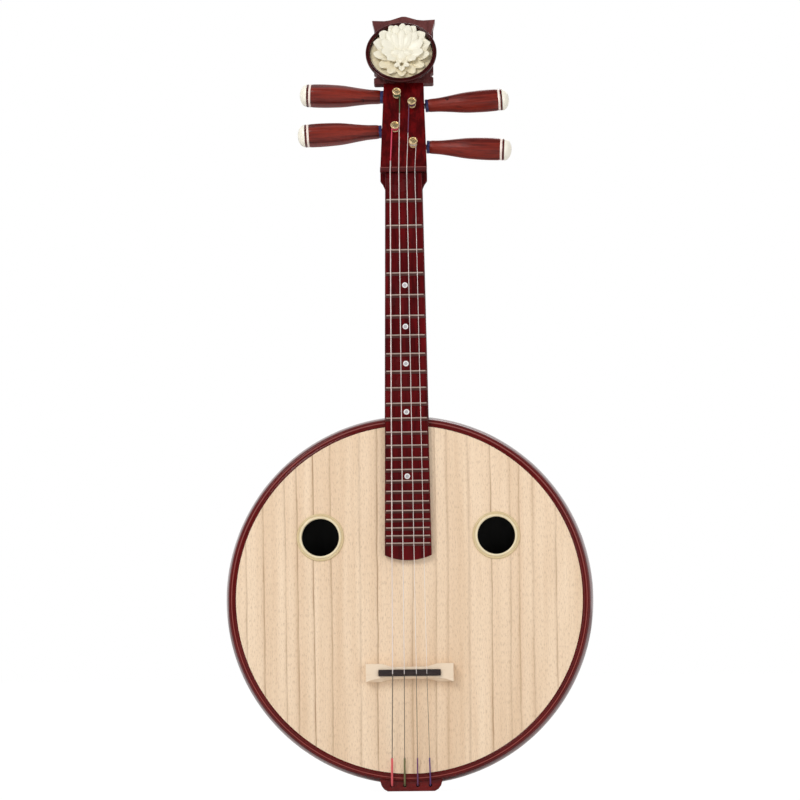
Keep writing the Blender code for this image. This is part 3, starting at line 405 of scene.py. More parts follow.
def growth_lines(wood, x):
    """Darkness of the growth lines at x, over the width of a board."""
    width = 2 * BOARD_EDGE
    across = (x + BOARD_EDGE) * (1 / width)
    dark = 0.0
    for first in range(0, len(GRAIN_LINES), LINES_ON_A_RAMP):
        stops = []
        for line in GRAIN_LINES[first:first + LINES_ON_A_RAMP]:
            spot = (line + BOARD_EDGE) / width
            stops.append((spot - GRAIN_SOFT / width, (0, 0, 0)))
            stops.append((spot, (1, 1, 1)))
            stops.append((spot + GRAIN_CRISP / width, (0, 0, 0)))
        slope = wood.start.node("ShaderNodeValToRGB", {"stops": stops}, {0: across})
        dark = dark + (slope ** 1.5 * 0.42 + slope ** 7.0 * 1.05)
    return dark


def paulownia(name, inside_sign):
    """Bare paulownia; the side that faces into the body is dark, as no light reaches it."""
    wood = Finish(name)
    wander = wood.noise(5.0, (1.0, 0.35, 1.0), 2.0) * 0.010
    shiver = wood.noise(60.0, (1.0, 0.45, 1.0), 2.0) * 0.0022
    dark = growth_lines(wood, wood.axis("X") + wander + shiver - GRAIN_SHIFT)
    broken = wood.noise(300.0, (1.0, 0.05, 1.0), 3.0).rise(0.25, 0.75)
    streaks = wood.noise(130.0, (1.0, 0.035, 1.0), 5.0, 0.7)
    tone = wood.noise(26.0, (1.0, 0.06, 1.0), 3.0).rise(0.3, 0.7)
    flecks = wood.noise(800.0, (1.0, 0.22, 1.0), 3.0, 0.65).rise(0.46, 0.74)
    plain = (tone * 0.75 + streaks * 1.3 - 0.52).blend(BOARD_PALE, BOARD_WARM)
    mottled = (flecks * 0.44).blend(plain, BOARD_LINE)
    lined = (dark * (0.45 + 0.65 * broken)).blend(mottled, BOARD_LINE)
    inside = (wood.axis("Z") * inside_sign) > 0.0
    wood.set("Base Color", inside.blend(lined, INSIDE_SHADE))
    wood.set("Roughness", 0.55 + 0.2 * streaks)
    wood.bump(streaks * 0.8 - dark * 0.7 + flecks * 0.4, 0.00016)
    return wood


def plain_finish(name, colour, roughness, grit, depth, stretch=(1, 1, 1), detail=3.0,
                 metallic=None, clouded=None):
    """One colour, or one clouded with another, over a grit given by its scale and depth."""
    finish = Finish(name, roughness=roughness, metallic=metallic)
    cloud = finish.noise(grit, stretch, detail)
    finish.set("Base Color", cloud.blend(colour, clouded) if clouded else colour)
    finish.bump(cloud, depth)
    return finish


def round_plate(name, radius, thickness, holes=()):
    """A round board of a thickness, centred on z = 0, with round holes (x, y, radius)."""
    curve = bpy.data.curves.new(name, "CURVE")
    curve.dimensions = "2D"
    curve.fill_mode = "BOTH"
    curve.extrude = thickness / 2
    circles = [(0.0, 0.0, radius, RIM_STEPS)] + [(*hole, HOLE_STEPS) for hole in holes]
    for x, y, reach, steps in circles:
        spline = curve.splines.new("POLY")
        spline.points.add(steps - 1)
        spline.use_cyclic_u = True
        for step, point in enumerate(spline.points):
            angle = math.tau * step / steps
            point.co = (x + reach * math.cos(angle), y + reach * math.sin(angle), 0.0, 1.0)
    guide = add_object(name, curve)
    graph = bpy.context.evaluated_depsgraph_get()
    mesh = bpy.data.meshes.new_from_object(guide.evaluated_get(graph))
    bpy.data.objects.remove(guide)
    bm = bmesh.new()
    bm.from_mesh(mesh)
    bmesh.ops.remove_doubles(bm, verts=bm.verts, dist=1e-6)
    bmesh.ops.recalc_face_normals(bm, faces=bm.faces)
    bm.to_mesh(mesh)
    bm.free()
    return mesh


def dress_node(node, finish):
    """Give a finish to a CAD node that stays in sight."""
    slots = frame["nodes"][node].data.materials
    slots.clear()
    slots.append(finish.material)


hole_rings = [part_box("soundhole_ring_" + side) for side in ("left", "right")]
hole_spots = [((low.x + high.x) / 2, (low.z + high.z) / 2) for low, high in hole_rings]
ring_neck = HOLE_RADIUS + RING_NECK_WALL
board_holes = [(x, z - body_centre, ring_neck + BOARD_GAP) for x, z in hole_spots]
for name, node, side, inside_sign, holes in (
        ("sound_board", "soundboard", "front", -1.0, board_holes),
        ("back_plate", "back_board", "back", 1.0, ())):
    low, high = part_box(node)
    board_mesh = round_plate(name, BOARD_EDGE, high.y - low.y, holes)
    place_piece(name, board_mesh, paulownia("paulownia_" + side, inside_sign), "root", "paulownia",
                node, place=front_place(0, (low.y + high.y) / 2, body_centre))
brace_finish = plain_finish("brace_wood", BRACE_BROWN, 0.8, 200.0, 0.0002, (0.05, 1.0, 1.0))
dress_node("soundboard_brace", brace_finish)

# Soundhole rings: two turned rings of pale bone, set into the board, with a raised lip
# at the hole, a hollow round it and a lower bead outside.
BONE_LIGHT = (0.880, 0.770, 0.540)
BONE_SHADE = (0.600, 0.440, 0.210)
RING_DEPTH = 0.0050
RING_UNDERSIDE = 0.0004
RING_STEPS = 96
LIP_START = 0.0004
LIP_ROUND = 0.0016
LIP_HEIGHT = 0.0006
HOLLOW_ROUND = 0.0006
HOLLOW_OUT = 0.0037
HOLLOW_HEIGHT = 0.0013
BEAD_ROUND = 0.0014
BEAD_HEIGHT = -0.0002
BONE_SHADED_REACH = (0.0255, 0.0290)
bone_finish = Finish("bone_ring", roughness=0.32)
bone_cloud = bone_finish.noise(60.0, detail=4.0)
# painted shade: each ring is painted darker from the crest of its lip outwards, over the hollow and
# bead, with a random cloud
bone_tone = bone_finish.reach().rise(*BONE_SHADED_REACH) * 0.55 + bone_cloud * 0.35
bone_finish.set("Base Color", bone_tone.blend(BONE_LIGHT, BONE_SHADE))
bone_finish.bump(bone_cloud, 0.0001)
for side, (x, z), (low, high) in zip(("left", "right"), hole_spots, hole_rings):
    outer = (high.x - low.x) / 2
    ring_profile = [(HOLE_RADIUS, -RING_DEPTH), (HOLE_RADIUS, LIP_START)]
    ring_profile += arc((HOLE_RADIUS + LIP_ROUND, LIP_HEIGHT), LIP_ROUND, 175, 15, 8)
    ring_profile += arc((HOLE_RADIUS + HOLLOW_OUT, HOLLOW_HEIGHT), HOLLOW_ROUND, 190, 350, 4)
    ring_profile += arc((outer - BEAD_ROUND, BEAD_HEIGHT), BEAD_ROUND, 130, 0, 8)
    ring_profile += [(outer, -RING_UNDERSIDE), (ring_neck, -RING_UNDERSIDE), (ring_neck, -RING_DEPTH)]
    place_turned("bone_ring_" + side, ring_profile, RING_STEPS, bone_finish, "root", "bone",
                 "soundhole_ring_" + side, place=front_place(x, rim_low.y, z))

# Neck, peg head, its back cover and the tail block: carved hardwood, stained and lacquered
# like the rim. Their edges are eased by hand, so each shape keeps a small round.
TAIL_DEEP = (0.075, 0.0036, 0.0042)
TAIL_BRIGHT = (0.170, 0.0085, 0.0080)
EASED_ANGLE = 32.0
FLAT_ANGLE = 0.4


def eased_copy(name, node, finish, slot, width, segments=2):
    """A finer copy of a CAD solid: flat faces made whole, edges rounded by a width."""
    bm = bmesh.new()
    bm.from_mesh(frame["nodes"][node].data)
    bmesh.ops.remove_doubles(bm, verts=bm.verts, dist=1e-5)
    bmesh.ops.dissolve_limit(bm, angle_limit=math.radians(FLAT_ANGLE), verts=bm.verts, edges=bm.edges)
    bmesh.ops.recalc_face_normals(bm, faces=bm.faces)
    piece = place_piece(name, mesh_from(bm, name), finish, "root", slot, node)
    if width:
        edge = piece.modifiers.new("eased_edges", "BEVEL")
        edge.width = width
        edge.segments = segments
        edge.limit_method = "ANGLE"
        edge.angle_limit = math.radians(EASED_ANGLE)
        flats = piece.modifiers.new("flat_faces", "WEIGHTED_NORMAL")
        flats.keep_sharp = False


neck_finish = red_lacquer("neck_lacquer", (6.0, 6.0, 0.7))
tail_finish = red_lacquer("tail_lacquer", (1.0, 5.0, 5.0), TAIL_DEEP, TAIL_BRIGHT)
eased_copy("neck_wood", "neck", neck_finish, "red_lacquer", width=0.0009)
eased_copy("head_cover", "head_back_cover", neck_finish, "red_lacquer", width=0.0005)
eased_copy("tail_piece", "tail_block", tail_finish, "red_lacquer", width=0.0010, segments=3)

# Fingerboard: a flat strip of the same red hardwood that runs down over the soundboard,
# with round position marks of white shell, each with a grey eye.
FINGERBOARD_DEEP = (0.050, 0.0014, 0.0024)
FINGERBOARD_BRIGHT = (0.150, 0.0036, 0.0052)
SHELL_WHITE = (0.92, 0.90, 0.88)
SHELL_GREY = (0.42, 0.41, 0.44)
SHELL_GREY_LIGHT = (0.62, 0.60, 0.62)
MARKED_FRETS = (5, 7, 9, 12, 17)
MARK_PROFILE = (
    (0.0, 0.00022), (0.0033, 0.0002), (0.0036, 0.00005), (0.0036, -0.0002), (0.0, -0.0002))
MARK_EYE_TONE = (0.0021, 0.0025)
MARK_EYE_STEP = (0.0019, 0.0024)
MARK_STEPS = 40


def fret_middle(number):
    """Height of the middle of a fret."""
    low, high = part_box("fret_%02d" % number)
    return (low.z + high.z) / 2


fingerboard_finish = red_lacquer(
    "fingerboard_lacquer", (6.0, 6.0, 0.5), FINGERBOARD_DEEP, FINGERBOARD_BRIGHT, 0.20)
eased_copy("finger_board", "fingerboard", fingerboard_finish, "red_lacquer", width=0.0008, segments=3)
mark_finish = Finish("shell_mark", roughness=0.22)
mark_reach = mark_finish.reach()
mark_cloud = mark_finish.noise(400.0).blend(SHELL_GREY, SHELL_GREY_LIGHT)
mark_shell = mark_reach.rise(*MARK_EYE_TONE)
mark_finish.set("Base Color", mark_shell.blend(mark_cloud, SHELL_WHITE))
mark_finish.bump(mark_reach.rise(*MARK_EYE_STEP), 0.0001)
fingerboard_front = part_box("fingerboard")[0].y
for number in MARKED_FRETS:
    height = (fret_middle(number - 1) + fret_middle(number)) / 2
    place_turned("mark_%02d" % number, MARK_PROFILE, MARK_STEPS, mark_finish, "root", "bone",
                 place=front_place(0, fingerboard_front, height))

# Frets: tall wedges of nickel alloy glued on the fingerboard. The crest is polished by the
# strings and the slope towards the bridge is duller. The crest is also painted pale as a painted
# highlight, and the slope dark red-brown as painted shade and painted reflection of the fingerboard.
FRET_CREST_HIGHLIGHT = (0.60, 0.46, 0.39)
FRET_SLOPE_SHADE = (0.088, 0.024, 0.020)
FRET_POLISHED = (0.6, 1.0)
FRET_HIGHLIGHT_BAND = (0.74, 0.98)
FRET_COUNT = 24
fret_low, fret_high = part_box("fret_12")
fret_finish = Finish("fret_alloy")
fret_rise = (fret_high.y - fret_finish.axis("Y")) * (1 / (fret_high.y - fret_low.y))
fret_polish = fret_rise.rise(*FRET_POLISHED)
fret_worn = fret_finish.noise(300.0, (0.2, 1.0, 1.0))
# painted highlight on the crest, painted shade and reflection on the slope
fret_finish.set("Base Color", fret_rise.rise(*FRET_HIGHLIGHT_BAND).blend(FRET_SLOPE_SHADE, FRET_CREST_HIGHLIGHT))
fret_finish.set("Roughness", 0.42 - 0.16 * fret_polish + 0.12 * fret_worn)
fret_finish.set("Metallic", 0.20 + 0.35 * fret_polish)
fret_finish.bump(fret_worn, 0.00008)
for number in range(1, FRET_COUNT + 1):
    eased_copy("fret_bar_%02d" % number, "fret_%02d" % number, fret_finish, "fret_nickel", width=0.0003)

# Nut: a block of the red hardwood across the top of the fingerboard, notched for the strings
# and falling away towards the head. Its top edge carries a pale line as a painted highlight.
NUT_DEEP = (0.042, 0.0020, 0.0026)
NUT_BRIGHT = (0.100, 0.0070, 0.0072)
NUT_EDGE_HIGHLIGHT = (0.360, 0.105, 0.090)
NUT_HIGHLIGHT_FROM = 0.0014
NUT_HIGHLIGHT_TO = 0.0004
NUT_HIGHLIGHT_SHARE = 0.7
nut_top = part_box("nut")[1].z
nut_finish = Finish("nut_lacquer")
lacquer_over(nut_finish, (0.6, 6.0, 6.0), 0.20)
# painted highlight: a pale line along the top edge of the nut
nut_highlight = nut_finish.axis("Z").rise(nut_top - NUT_HIGHLIGHT_FROM, nut_top - NUT_HIGHLIGHT_TO) * NUT_HIGHLIGHT_SHARE
nut_figure = nut_finish.noise(26.0, (0.6, 6.0, 6.0), 4.0).blend(NUT_DEEP, NUT_BRIGHT)
nut_finish.set("Base Color", nut_highlight.blend(nut_figure, NUT_EDGE_HIGHLIGHT))
eased_copy("nut_block", "nut", nut_finish, "red_lacquer", width=0.0006)

# Bridge: pale bare hardwood with square ends and hollowed sides, standing loose on the board,
# and a black saddle strip let into its top.
BRIDGE_LIGHT = (0.90, 0.76, 0.59)
BRIDGE_DARK = (0.76, 0.56, 0.38)
EBONY_DEEP = (0.012, 0.008, 0.008)
EBONY_BROWN = (0.055, 0.038, 0.036)
bridge_finish = Finish("bridge_wood", roughness=0.50)
bridge_figure = bridge_finish.noise(60.0, (0.25, 1.0, 1.0), 4.0)
bridge_flecks = bridge_finish.noise(520.0, (0.18, 1.0, 1.0), 2.0).rise(0.5, 0.8)
bridge_tone = bridge_figure * 0.7 + bridge_flecks * 0.25
bridge_finish.set("Base Color", bridge_tone.blend(BRIDGE_LIGHT, BRIDGE_DARK))
bridge_finish.bump(bridge_flecks + bridge_figure * 0.4, 0.0001)
eased_copy("bridge_block", "bridge", bridge_finish, "maple", width=0.0006)
saddle_finish = plain_finish(
    "saddle_ebony", EBONY_DEEP, 0.35, 500.0, 0.0001, (0.2, 1.0, 1.0), clouded=EBONY_BROWN)
saddle_finish.set("Specular IOR Level", 0.22)
eased_copy("saddle_strip", "bridge_saddle", saddle_finish, "ebony", width=0.0003)

# Strings: wound and plain steel, each with its ends wrapped in silk of its own colour. They
# pass over saddle and nut and are wound on their posts.
STRINGS = (
    # silk at the tail, silk at the head and its length, post, bare wire
    ((0.700, 0.105, 0.120), (0.680, 0.060, 0.110), 0.050, 3, (0.93, 0.84, 0.80)),
    ((0.155, 0.150, 0.060), (0.090, 0.150, 0.075), 0.028, 1, (0.93, 0.85, 0.81)),
    ((0.160, 0.060, 0.150), (0.120, 0.042, 0.095), 0.044, 2, (0.94, 0.87, 0.83)),
    ((0.105, 0.050, 0.190), (0.500, 0.430, 0.400), 0.0, 4, (0.95, 0.88, 0.85)),
)
SHADE_BELOW_SADDLE = (0.200, 0.165, 0.135)
SILK_TAIL_TOP = 0.0425
SILK_UPRIGHT_SHARE = 0.94
SILK_BELOW_POST = 0.0015
SILK_FADE_TAIL = 0.0008
SILK_FADE_HEAD = 0.0010
SADDLE_HEIGHT = 0.1480
WIRE_METALLIC = 0.45
joints = {joint["name"]: joint for joint in frame["joints"]}
for number, (tail_silk, head_silk, head_length, post, bare_wire) in enumerate(STRINGS, 1):
    wire = Finish("string_wire_%d" % number)
    height = wire.axis("Z")
    post_height = joints["post_%d_turn" % post]["pos_m"][2]
    silk_start = post_height - SILK_UPRIGHT_SHARE * head_length - SILK_BELOW_POST
    on_tail = 1.0 - height.rise(SILK_TAIL_TOP - SILK_FADE_TAIL, SILK_TAIL_TOP)
    on_head = height.rise(silk_start, silk_start + SILK_FADE_HEAD)
    silk = on_tail.larger(on_head)
    whole = on_tail.blend(on_head.blend(bare_wire, head_silk), tail_silk)
    # painted shade: the bare wire below the saddle is painted darker
    shaded = (height < SADDLE_HEIGHT) * (1.0 - silk)
    wire.set("Base Color", shaded.blend(whole, SHADE_BELOW_SADDLE))
    wire.set("Metallic", WIRE_METALLIC * (1.0 - silk))
    wire.set("Roughness", 0.32 + 0.42 * silk)
    wraps = wire.start.node("ShaderNodeTexWave", {"wave_type": "BANDS", "bands_direction": "Z"},
                            {"Vector": wire.place, "Scale": 900.0, "Distortion": 0.6})
    wire.bump(wraps, 0.00006, 0.5)
    eased_copy("strung_wire_%d" % number, "string_%d" % number, wire, "string_wire", width=0.0)

# String knots: inside the tail block each string ends in a knot of its own wire, which
# fills its hole a little behind the face. The knots are painted near-black, as painted shade in the
# holes.
KNOT_SHADE = (0.010, 0.006, 0.006)
KNOT_PROFILE = ((0.0, -0.0016), (0.0016, -0.0018), (0.0021, -0.0024), (0.0021, -0.0060), (0.0, -0.0060))
KNOT_STEPS = 24
TAIL_HOLES = ((-0.0243, 0.0073), (-0.0082, 0.0073), (0.0083, 0.0073), (0.0243, 0.0073))
# painted shade: the knots are near-black so that the holes read dark
knot_finish = plain_finish("string_knot", KNOT_SHADE, 0.8, 900.0, 0.0001)
knot_finish.set("Specular IOR Level", 0.1)
tail_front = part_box("tail_block")[0].y
for number, (x, z) in enumerate(TAIL_HOLES, 1):
    place_turned("string_knot_%d" % number, KNOT_PROFILE, KNOT_STEPS, knot_finish, "root",
                 "string_wire", place=front_place(x, tail_front, z))

# String posts: gilt brass, turned, with a dished cap, a cross hole for the string shown as a
# near-black disc of painted shade, and a washer on the face of the head. Inside the head each
# post carries a bronze worm wheel.
BRASS_BRIGHT = (1.0, 0.80, 0.47)
BRASS_DULL = (0.72, 0.46, 0.19)
EYE_SHADE = (0.006, 0.004, 0.004)
POST_RADIUS = 0.0030
POST_STEPS = 40
POST_SHARP = 30.0
CAP_DISH = (
    # radius, height over the head: the hollow top of the cap
    (0.0, 0.0099), (0.0017, 0.0099), (0.0019, 0.0104), (0.0030, 0.0104), (0.00415, 0.0102))
CAP_LIP = (0.00475, 0.0106)
CAP_LIP_ROUND = 0.0005
CAP_DULL = (0.0094, 0.0106)
POST_SHANK = (
    # the side of the cap, the shank, its washer and its end inside the head
    (0.00575, 0.0100), (0.00575, 0.0092), (0.00515, 0.0086), (0.0030, 0.0086), (0.0030, 0.0014),
    (0.0046, 0.0013), (0.0050, 0.0009), (0.0050, 0.0003), (0.0030, 0.0003), (0.0030, -0.0225),
    (0.0, -0.0225))
WHEEL_DEPTH = 0.017
WHEEL_WIDTH = 0.005
WHEEL_TEETH = 12
WHEEL_PITCH = 0.0054
WHEEL_ROOT = 0.00445
WHEEL_TIP = 0.0061
TOOTH_HALF = 0.0005
TOOTH_LEAN = 0.16667
TOOTH_FLANK = 20.0
EYE_PROFILE = ((0.0, 0.00008), (0.0009, 0.00004), (0.0009, -0.0002), (0.0, -0.0002))
EYE_HEIGHT = 0.0068
EYE_STEPS = 20
PEG_COUNT = 4
RIGHT = Vector((1, 0, 0))


def joint_line(name):
    """A point on the axis of a joint, and the direction of that axis."""
    return Vector(joints[name]["pos_m"]), Vector(joints[name]["axis"]).normalized()


def axes_place(origin, x, y, z):
    return Matrix.Translation(origin) @ Matrix((x, y, z)).transposed().to_4x4()


def square_to(vector, normal):
    """What is left of a vector at right angles to a normal."""
    return vector - vector.dot(normal) * normal


def skin_rings(bm, rings):
    """Faces between rings of points, one ring to the next, and over both ends."""
    count = len(rings[0])
    for lower, upper in zip(rings, rings[1:]):
        for i in range(count):
            j = (i + 1) % count
            bm.faces.new((lower[i], lower[j], upper[j], upper[i]))
    bm.faces.new(list(reversed(rings[0])))
    bm.faces.new(rings[-1])


def post_mesh(name):
    """Cap, shank, washer and wheel of one post, about z with the head's face at 0."""
    profile = [*CAP_DISH, *arc(CAP_LIP, CAP_LIP_ROUND, 150, 0, 6), *POST_SHANK]
    mesh = turned_mesh(name, profile, POST_STEPS)
    bm = bmesh.new()
    bm.from_mesh(mesh)
    rings = []
    for z in (-WHEEL_WIDTH / 2, WHEEL_WIDTH / 2):
        ring = []
        for tooth in range(WHEEL_TEETH):
            centre = math.tau * (tooth + 0.5) / WHEEL_TEETH + z * TOOTH_LEAN / WHEEL_PITCH
            for radius, sign in ((WHEEL_ROOT, -1), (WHEEL_TIP, -1), (WHEEL_TIP, 1), (WHEEL_ROOT, 1)):
                half = TOOTH_HALF - (radius - WHEEL_PITCH) * math.tan(math.radians(TOOTH_FLANK))
                angle = centre + sign * half / radius
                spot = (math.cos(angle) * radius, math.sin(angle) * radius, z - WHEEL_DEPTH)
                ring.append(bm.verts.new(spot))
        rings.append(ring)
    skin_rings(bm, rings)
    bm.to_mesh(mesh)
    bm.free()
    return mesh


head_normal = joint_line("post_1_turn")[1]
head_up = head_normal.cross(RIGHT)
brass_finish = Finish("gilt_brass")
brass_scuffs = brass_finish.noise(700.0, (1.0, 1.0, 0.2), 3.0)
brass_height = brass_finish.axis("Z")
brass_dull = (brass_height < CAP_DULL[1]) * (brass_height > CAP_DULL[0])
brass_finish.set("Base Color", (brass_scuffs * 0.5).blend(BRASS_BRIGHT, BRASS_DULL))
brass_finish.set("Roughness", 0.16 + 0.22 * brass_scuffs)
brass_finish.set("Metallic", 0.80 + 0.1 * brass_dull)
brass_finish.bump(brass_scuffs, 0.00006)
eye_finish = plain_finish("string_hole", EYE_SHADE, 0.7, 900.0, 0.00005)
for number in range(1, PEG_COUNT + 1):
    body = "post_%d" % number
    origin = joint_line("post_%d_turn" % number)[0]
    peg_spot = joint_line("peg_%d_turn" % number)[0]
    towards = square_to(peg_spot - origin, head_normal).normalized()
    place = axes_place(origin, towards, head_normal.cross(towards), head_normal)
    place_piece("post_%d" % number, post_mesh("post_%d" % number), brass_finish, body,
                "post_brass", "string_post_%d" % number, place=place, sharp=POST_SHARP)
    # the cross hole: a near-black disc, painted shade where the hole is
    eye_spot = origin + head_normal * EYE_HEIGHT - head_up * POST_RADIUS
    place_turned("post_eye_%d" % number, EYE_PROFILE, EYE_STEPS, eye_finish, body, "post_brass",
                 place=axes_place(eye_spot, RIGHT, head_normal, -head_up))

# Tuning pegs: six-sided tapered handles of red-brown hardwood on steel worm shafts. Each has a
# blue collar at the head, a pale and a dark ring at its end, and an ivory dome with a
# pattern of fine dots; the upper two show a small dark set screw.
ROSEWOOD_DEEP = (0.060, 0.0026, 0.0018)
ROSEWOOD_BRIGHT = (0.235, 0.0190, 0.0080)
ROSEWOOD_PORE = (0.060, 0.0040, 0.0030)
DARK_RING_RED = (0.090, 0.0060, 0.0050)
PALE_RING_BONE = (0.93, 0.80, 0.71)
STEEL_GREY = (0.42, 0.42, 0.43)
SCREW_BLACK = (0.010, 0.009, 0.010)
COLLAR_DEEP = (0.016, 0.018, 0.090)
COLLAR_BRIGHT = (0.045, 0.048, 0.180)
DOME_LIGHT = (0.98, 0.95, 0.86)
DOME_SHADE = (0.90, 0.83, 0.66)
HANDLE_SHAPE = (
    # share of the length from the head, radius
    (0.0, 0.0091), (0.14, 0.0097), (0.28, 0.0113), (0.49, 0.0141), (0.66, 0.0151),
    (0.80, 0.0154), (1.0, 0.0150))
HANDLE_TURN = {-1: 24.0, 1: 6.0}
HANDLE_STATIONS = 30
HANDLE_SIDES = 6
CORNER_POINTS = ((-10.0, 1.0), (-3.5, 1.012), (3.5, 1.012), (10.0, 1.0))
END_EASE = 0.0004
FACET_SHARP = 24.0
PALE_RING = 0.0027
DARK_RING = 0.0026
RING_STATIONS = 3
DOME_RADIUS = 0.0146
DOME_GAP = 0.0003
DOME_UNDERCUT = 0.0005
DOME_ARC_STEPS = 16
DOME_STEPS = 64
DOME_SHARP = 50.0
DOME_DOTS = ((80.0, 6), (64.0, 10))
DOT_PROFILE = ((0.0, 0.00008), (0.00042, 0.00003), (0.00042, -0.0002), (0.0, -0.0002))
DOT_STEPS = 12
COLLAR_RADIUS = 0.0086
COLLAR_BORE = 0.0045
COLLAR_SPAN = (-0.0040, -0.0001)
COLLAR_EASE = 0.0004
COLLAR_STEPS = 48
SCREW_PROFILE = (
    (0.0, 0.0002), (0.0011, 0.0003), (0.0017, 0.0011), (0.0022, 0.0009), (0.0022, -0.0010),
    (0.0, -0.0010))
SCREW_SEAT = 0.93
SCREW_STEPS = 24
SET_SCREWS = {1: (-1.95, 0.0230), 2: (0.18, 0.0255)}


def smooth_value(table, share):
    """Read a table of (share, value) along a smooth curve."""
    for i in range(len(table) - 1):
        if share <= table[i + 1][0]:
            before = table[max(i - 1, 0)]
            (s1, v1), (s2, v2) = table[i], table[i + 1]
            after = table[min(i + 2, len(table) - 1)]
            t = (share - s1) / (s2 - s1)
            m1 = (v2 - before[1]) / (s2 - before[0]) * (s2 - s1)
            m2 = (after[1] - v1) / (after[0] - s1) * (s2 - s1)
            bend = 3 * t ** 2 - 2 * t ** 3
            slopes = (t ** 3 - 2 * t ** 2 + t) * m1 + (t ** 3 - t ** 2) * m2
            return (1 - bend) * v1 + bend * v2 + slopes
    return table[-1][1]


def handle_radius(handle, along):
    """Radius of a handle, given as (start, end), at a distance along its axis."""
    share = (along - handle[0]) / (handle[1] - handle[0])
    return smooth_value(HANDLE_SHAPE, min(max(share, 0.0), 1.0))


def faceted_mesh(name, handle, low, high, stations, turn):
    """Six-sided tapered wood between two distances along a handle, closed at both ends."""
    bm = bmesh.new()
    rings = []
    for step in range(stations + 1):
        z = low + (high - low) * step / stations
        ease = 0.0 if 0 < step < stations else END_EASE
        ring = []
        for corner in range(HANDLE_SIDES):
            for bevel, pull in CORNER_POINTS:
                angle = math.radians(360 / HANDLE_SIDES * corner + bevel + turn)
                reach = handle_radius(handle, z) * pull - ease
                ring.append(bm.verts.new((math.cos(angle) * reach, math.sin(angle) * reach, z)))
        rings.append(ring)
    skin_rings(bm, rings)
    return mesh_from(bm, name)


def span_along(node, origin, direction):
    """Least and greatest distance of a CAD node's points along an axis."""
    reaches = [(vertex.co - origin).dot(direction) for vertex in frame["nodes"][node].data.vertices]
    return min(reaches), max(reaches)


def place_dome(number, body, place, start, end):
    """The ivory dome of a peg, between two distances along its axis."""
    angles = [math.pi / 2 * step / DOME_ARC_STEPS for step in range(DOME_ARC_STEPS)]
    profile = [(0.0, start), (DOME_RADIUS - DOME_UNDERCUT, start)]
    profile += [(DOME_RADIUS * math.cos(a), start + (end - start) * math.sin(a)) for a in angles]
    profile.append((0.0, end))
    place_turned("dome_%d" % number, profile, DOME_STEPS, dome_finish, body, "carved_ivory",
                 "peg_cap_%d" % number, place=place, sharp=DOME_SHARP)


def place_dots(number, body, place, start, rise):
    """Rings of fine dark dots let into a dome of a start and a rise, square to its surface."""
    for ring, (tilt, count) in enumerate(DOME_DOTS):
        polar = math.radians(tilt)
        for step in range(count):
            angle = math.tau * (step + 0.5 * ring) / count
            x = math.cos(angle) * math.cos(polar) * DOME_RADIUS
            y = math.sin(angle) * math.cos(polar) * DOME_RADIUS
            z = rise * math.sin(polar)
            normal = Vector((x / DOME_RADIUS ** 2, y / DOME_RADIUS ** 2, z / rise ** 2))
            dot_axes = normal.normalized().to_track_quat("Z", "Y").to_matrix().to_4x4()
            dot_place = place @ Matrix.Translation((x, y, start + z)) @ dot_axes
            place_turned("dome_dot_%d_%d_%d" % (number, ring, step), DOT_PROFILE, DOT_STEPS,
                         screw_finish, body, "worm_steel", place=dot_place)


def place_collar(number, body, place, start):
    """The blue collar between the head and a handle that starts at a distance."""
    low, high = (start + edge for edge in COLLAR_SPAN)
    profile = [(COLLAR_BORE, low), (COLLAR_RADIUS - COLLAR_EASE, low)]
    profile += [(COLLAR_RADIUS, low + COLLAR_EASE), (COLLAR_RADIUS, high - COLLAR_EASE)]
    profile += [(COLLAR_RADIUS - COLLAR_EASE, high), (COLLAR_BORE, high)]
    place_turned("collar_%d" % number, profile, COLLAR_STEPS, collar_finish, body, "worm_steel",
                 place=place)


def place_set_screw(number, body, handle, origin, outward):
    """The small dished screw sunk in a handle, at its lean from the head's face."""
    lean, distance = SET_SCREWS[number]
    out = (head_normal + lean * head_up).normalized()
    out = square_to(out, outward).normalized()
    along = handle[0] + distance
    spot = origin + outward * along + out * handle_radius(handle, along) * SCREW_SEAT
    place_turned("set_screw_%d" % number, SCREW_PROFILE, SCREW_STEPS, screw_finish, body,
                 "worm_steel", place=axes_place(spot, outward, out.cross(outward), out))


steel_finish = plain_finish("worm_steel", STEEL_GREY, 0.36, 500.0, 0.00006, metallic=0.9)
collar_finish = plain_finish("blue_collar", COLLAR_DEEP, 0.30, 300.0, 0.00006, clouded=COLLAR_BRIGHT)
peg_finish = Finish("peg_rosewood")
peg_streaks = peg_finish.noise(330.0, (1.0, 1.0, 0.045), 5.0, 0.7)
peg_bands = peg_finish.noise(70.0, (1.0, 1.0, 0.09), 3.0)
peg_pores = peg_finish.noise(900.0, (1.0, 1.0, 0.05), 2.0).rise(0.56, 0.72)
peg_tone = (peg_streaks * 0.75 + peg_bands * 0.7 - 0.28).rise(0.27, 0.63)
peg_wood = peg_tone.blend(ROSEWOOD_DEEP, ROSEWOOD_BRIGHT)
peg_finish.set("Base Color", (peg_pores * 0.45).blend(peg_wood, ROSEWOOD_PORE))
peg_finish.set("Roughness", 0.24 + 0.22 * peg_streaks)
peg_finish.set("Specular IOR Level", 0.32)
peg_finish.bump(peg_streaks * 0.6 - peg_pores * 0.6, 0.00014)
dark_finish = plain_finish("peg_dark_ring", DARK_RING_RED, 0.26, 400.0, 0.00008, (1, 1, 0.1))
pale_finish = plain_finish("peg_pale_ring", PALE_RING_BONE, 0.30, 400.0, 0.00006)
dome_finish = plain_finish("peg_dome", DOME_LIGHT, 0.28, 120.0, 0.0001, detail=4.0, clouded=DOME_SHADE)
screw_finish = plain_finish("set_screw", SCREW_BLACK, 0.4, 900.0, 0.00005, metallic=0.6)
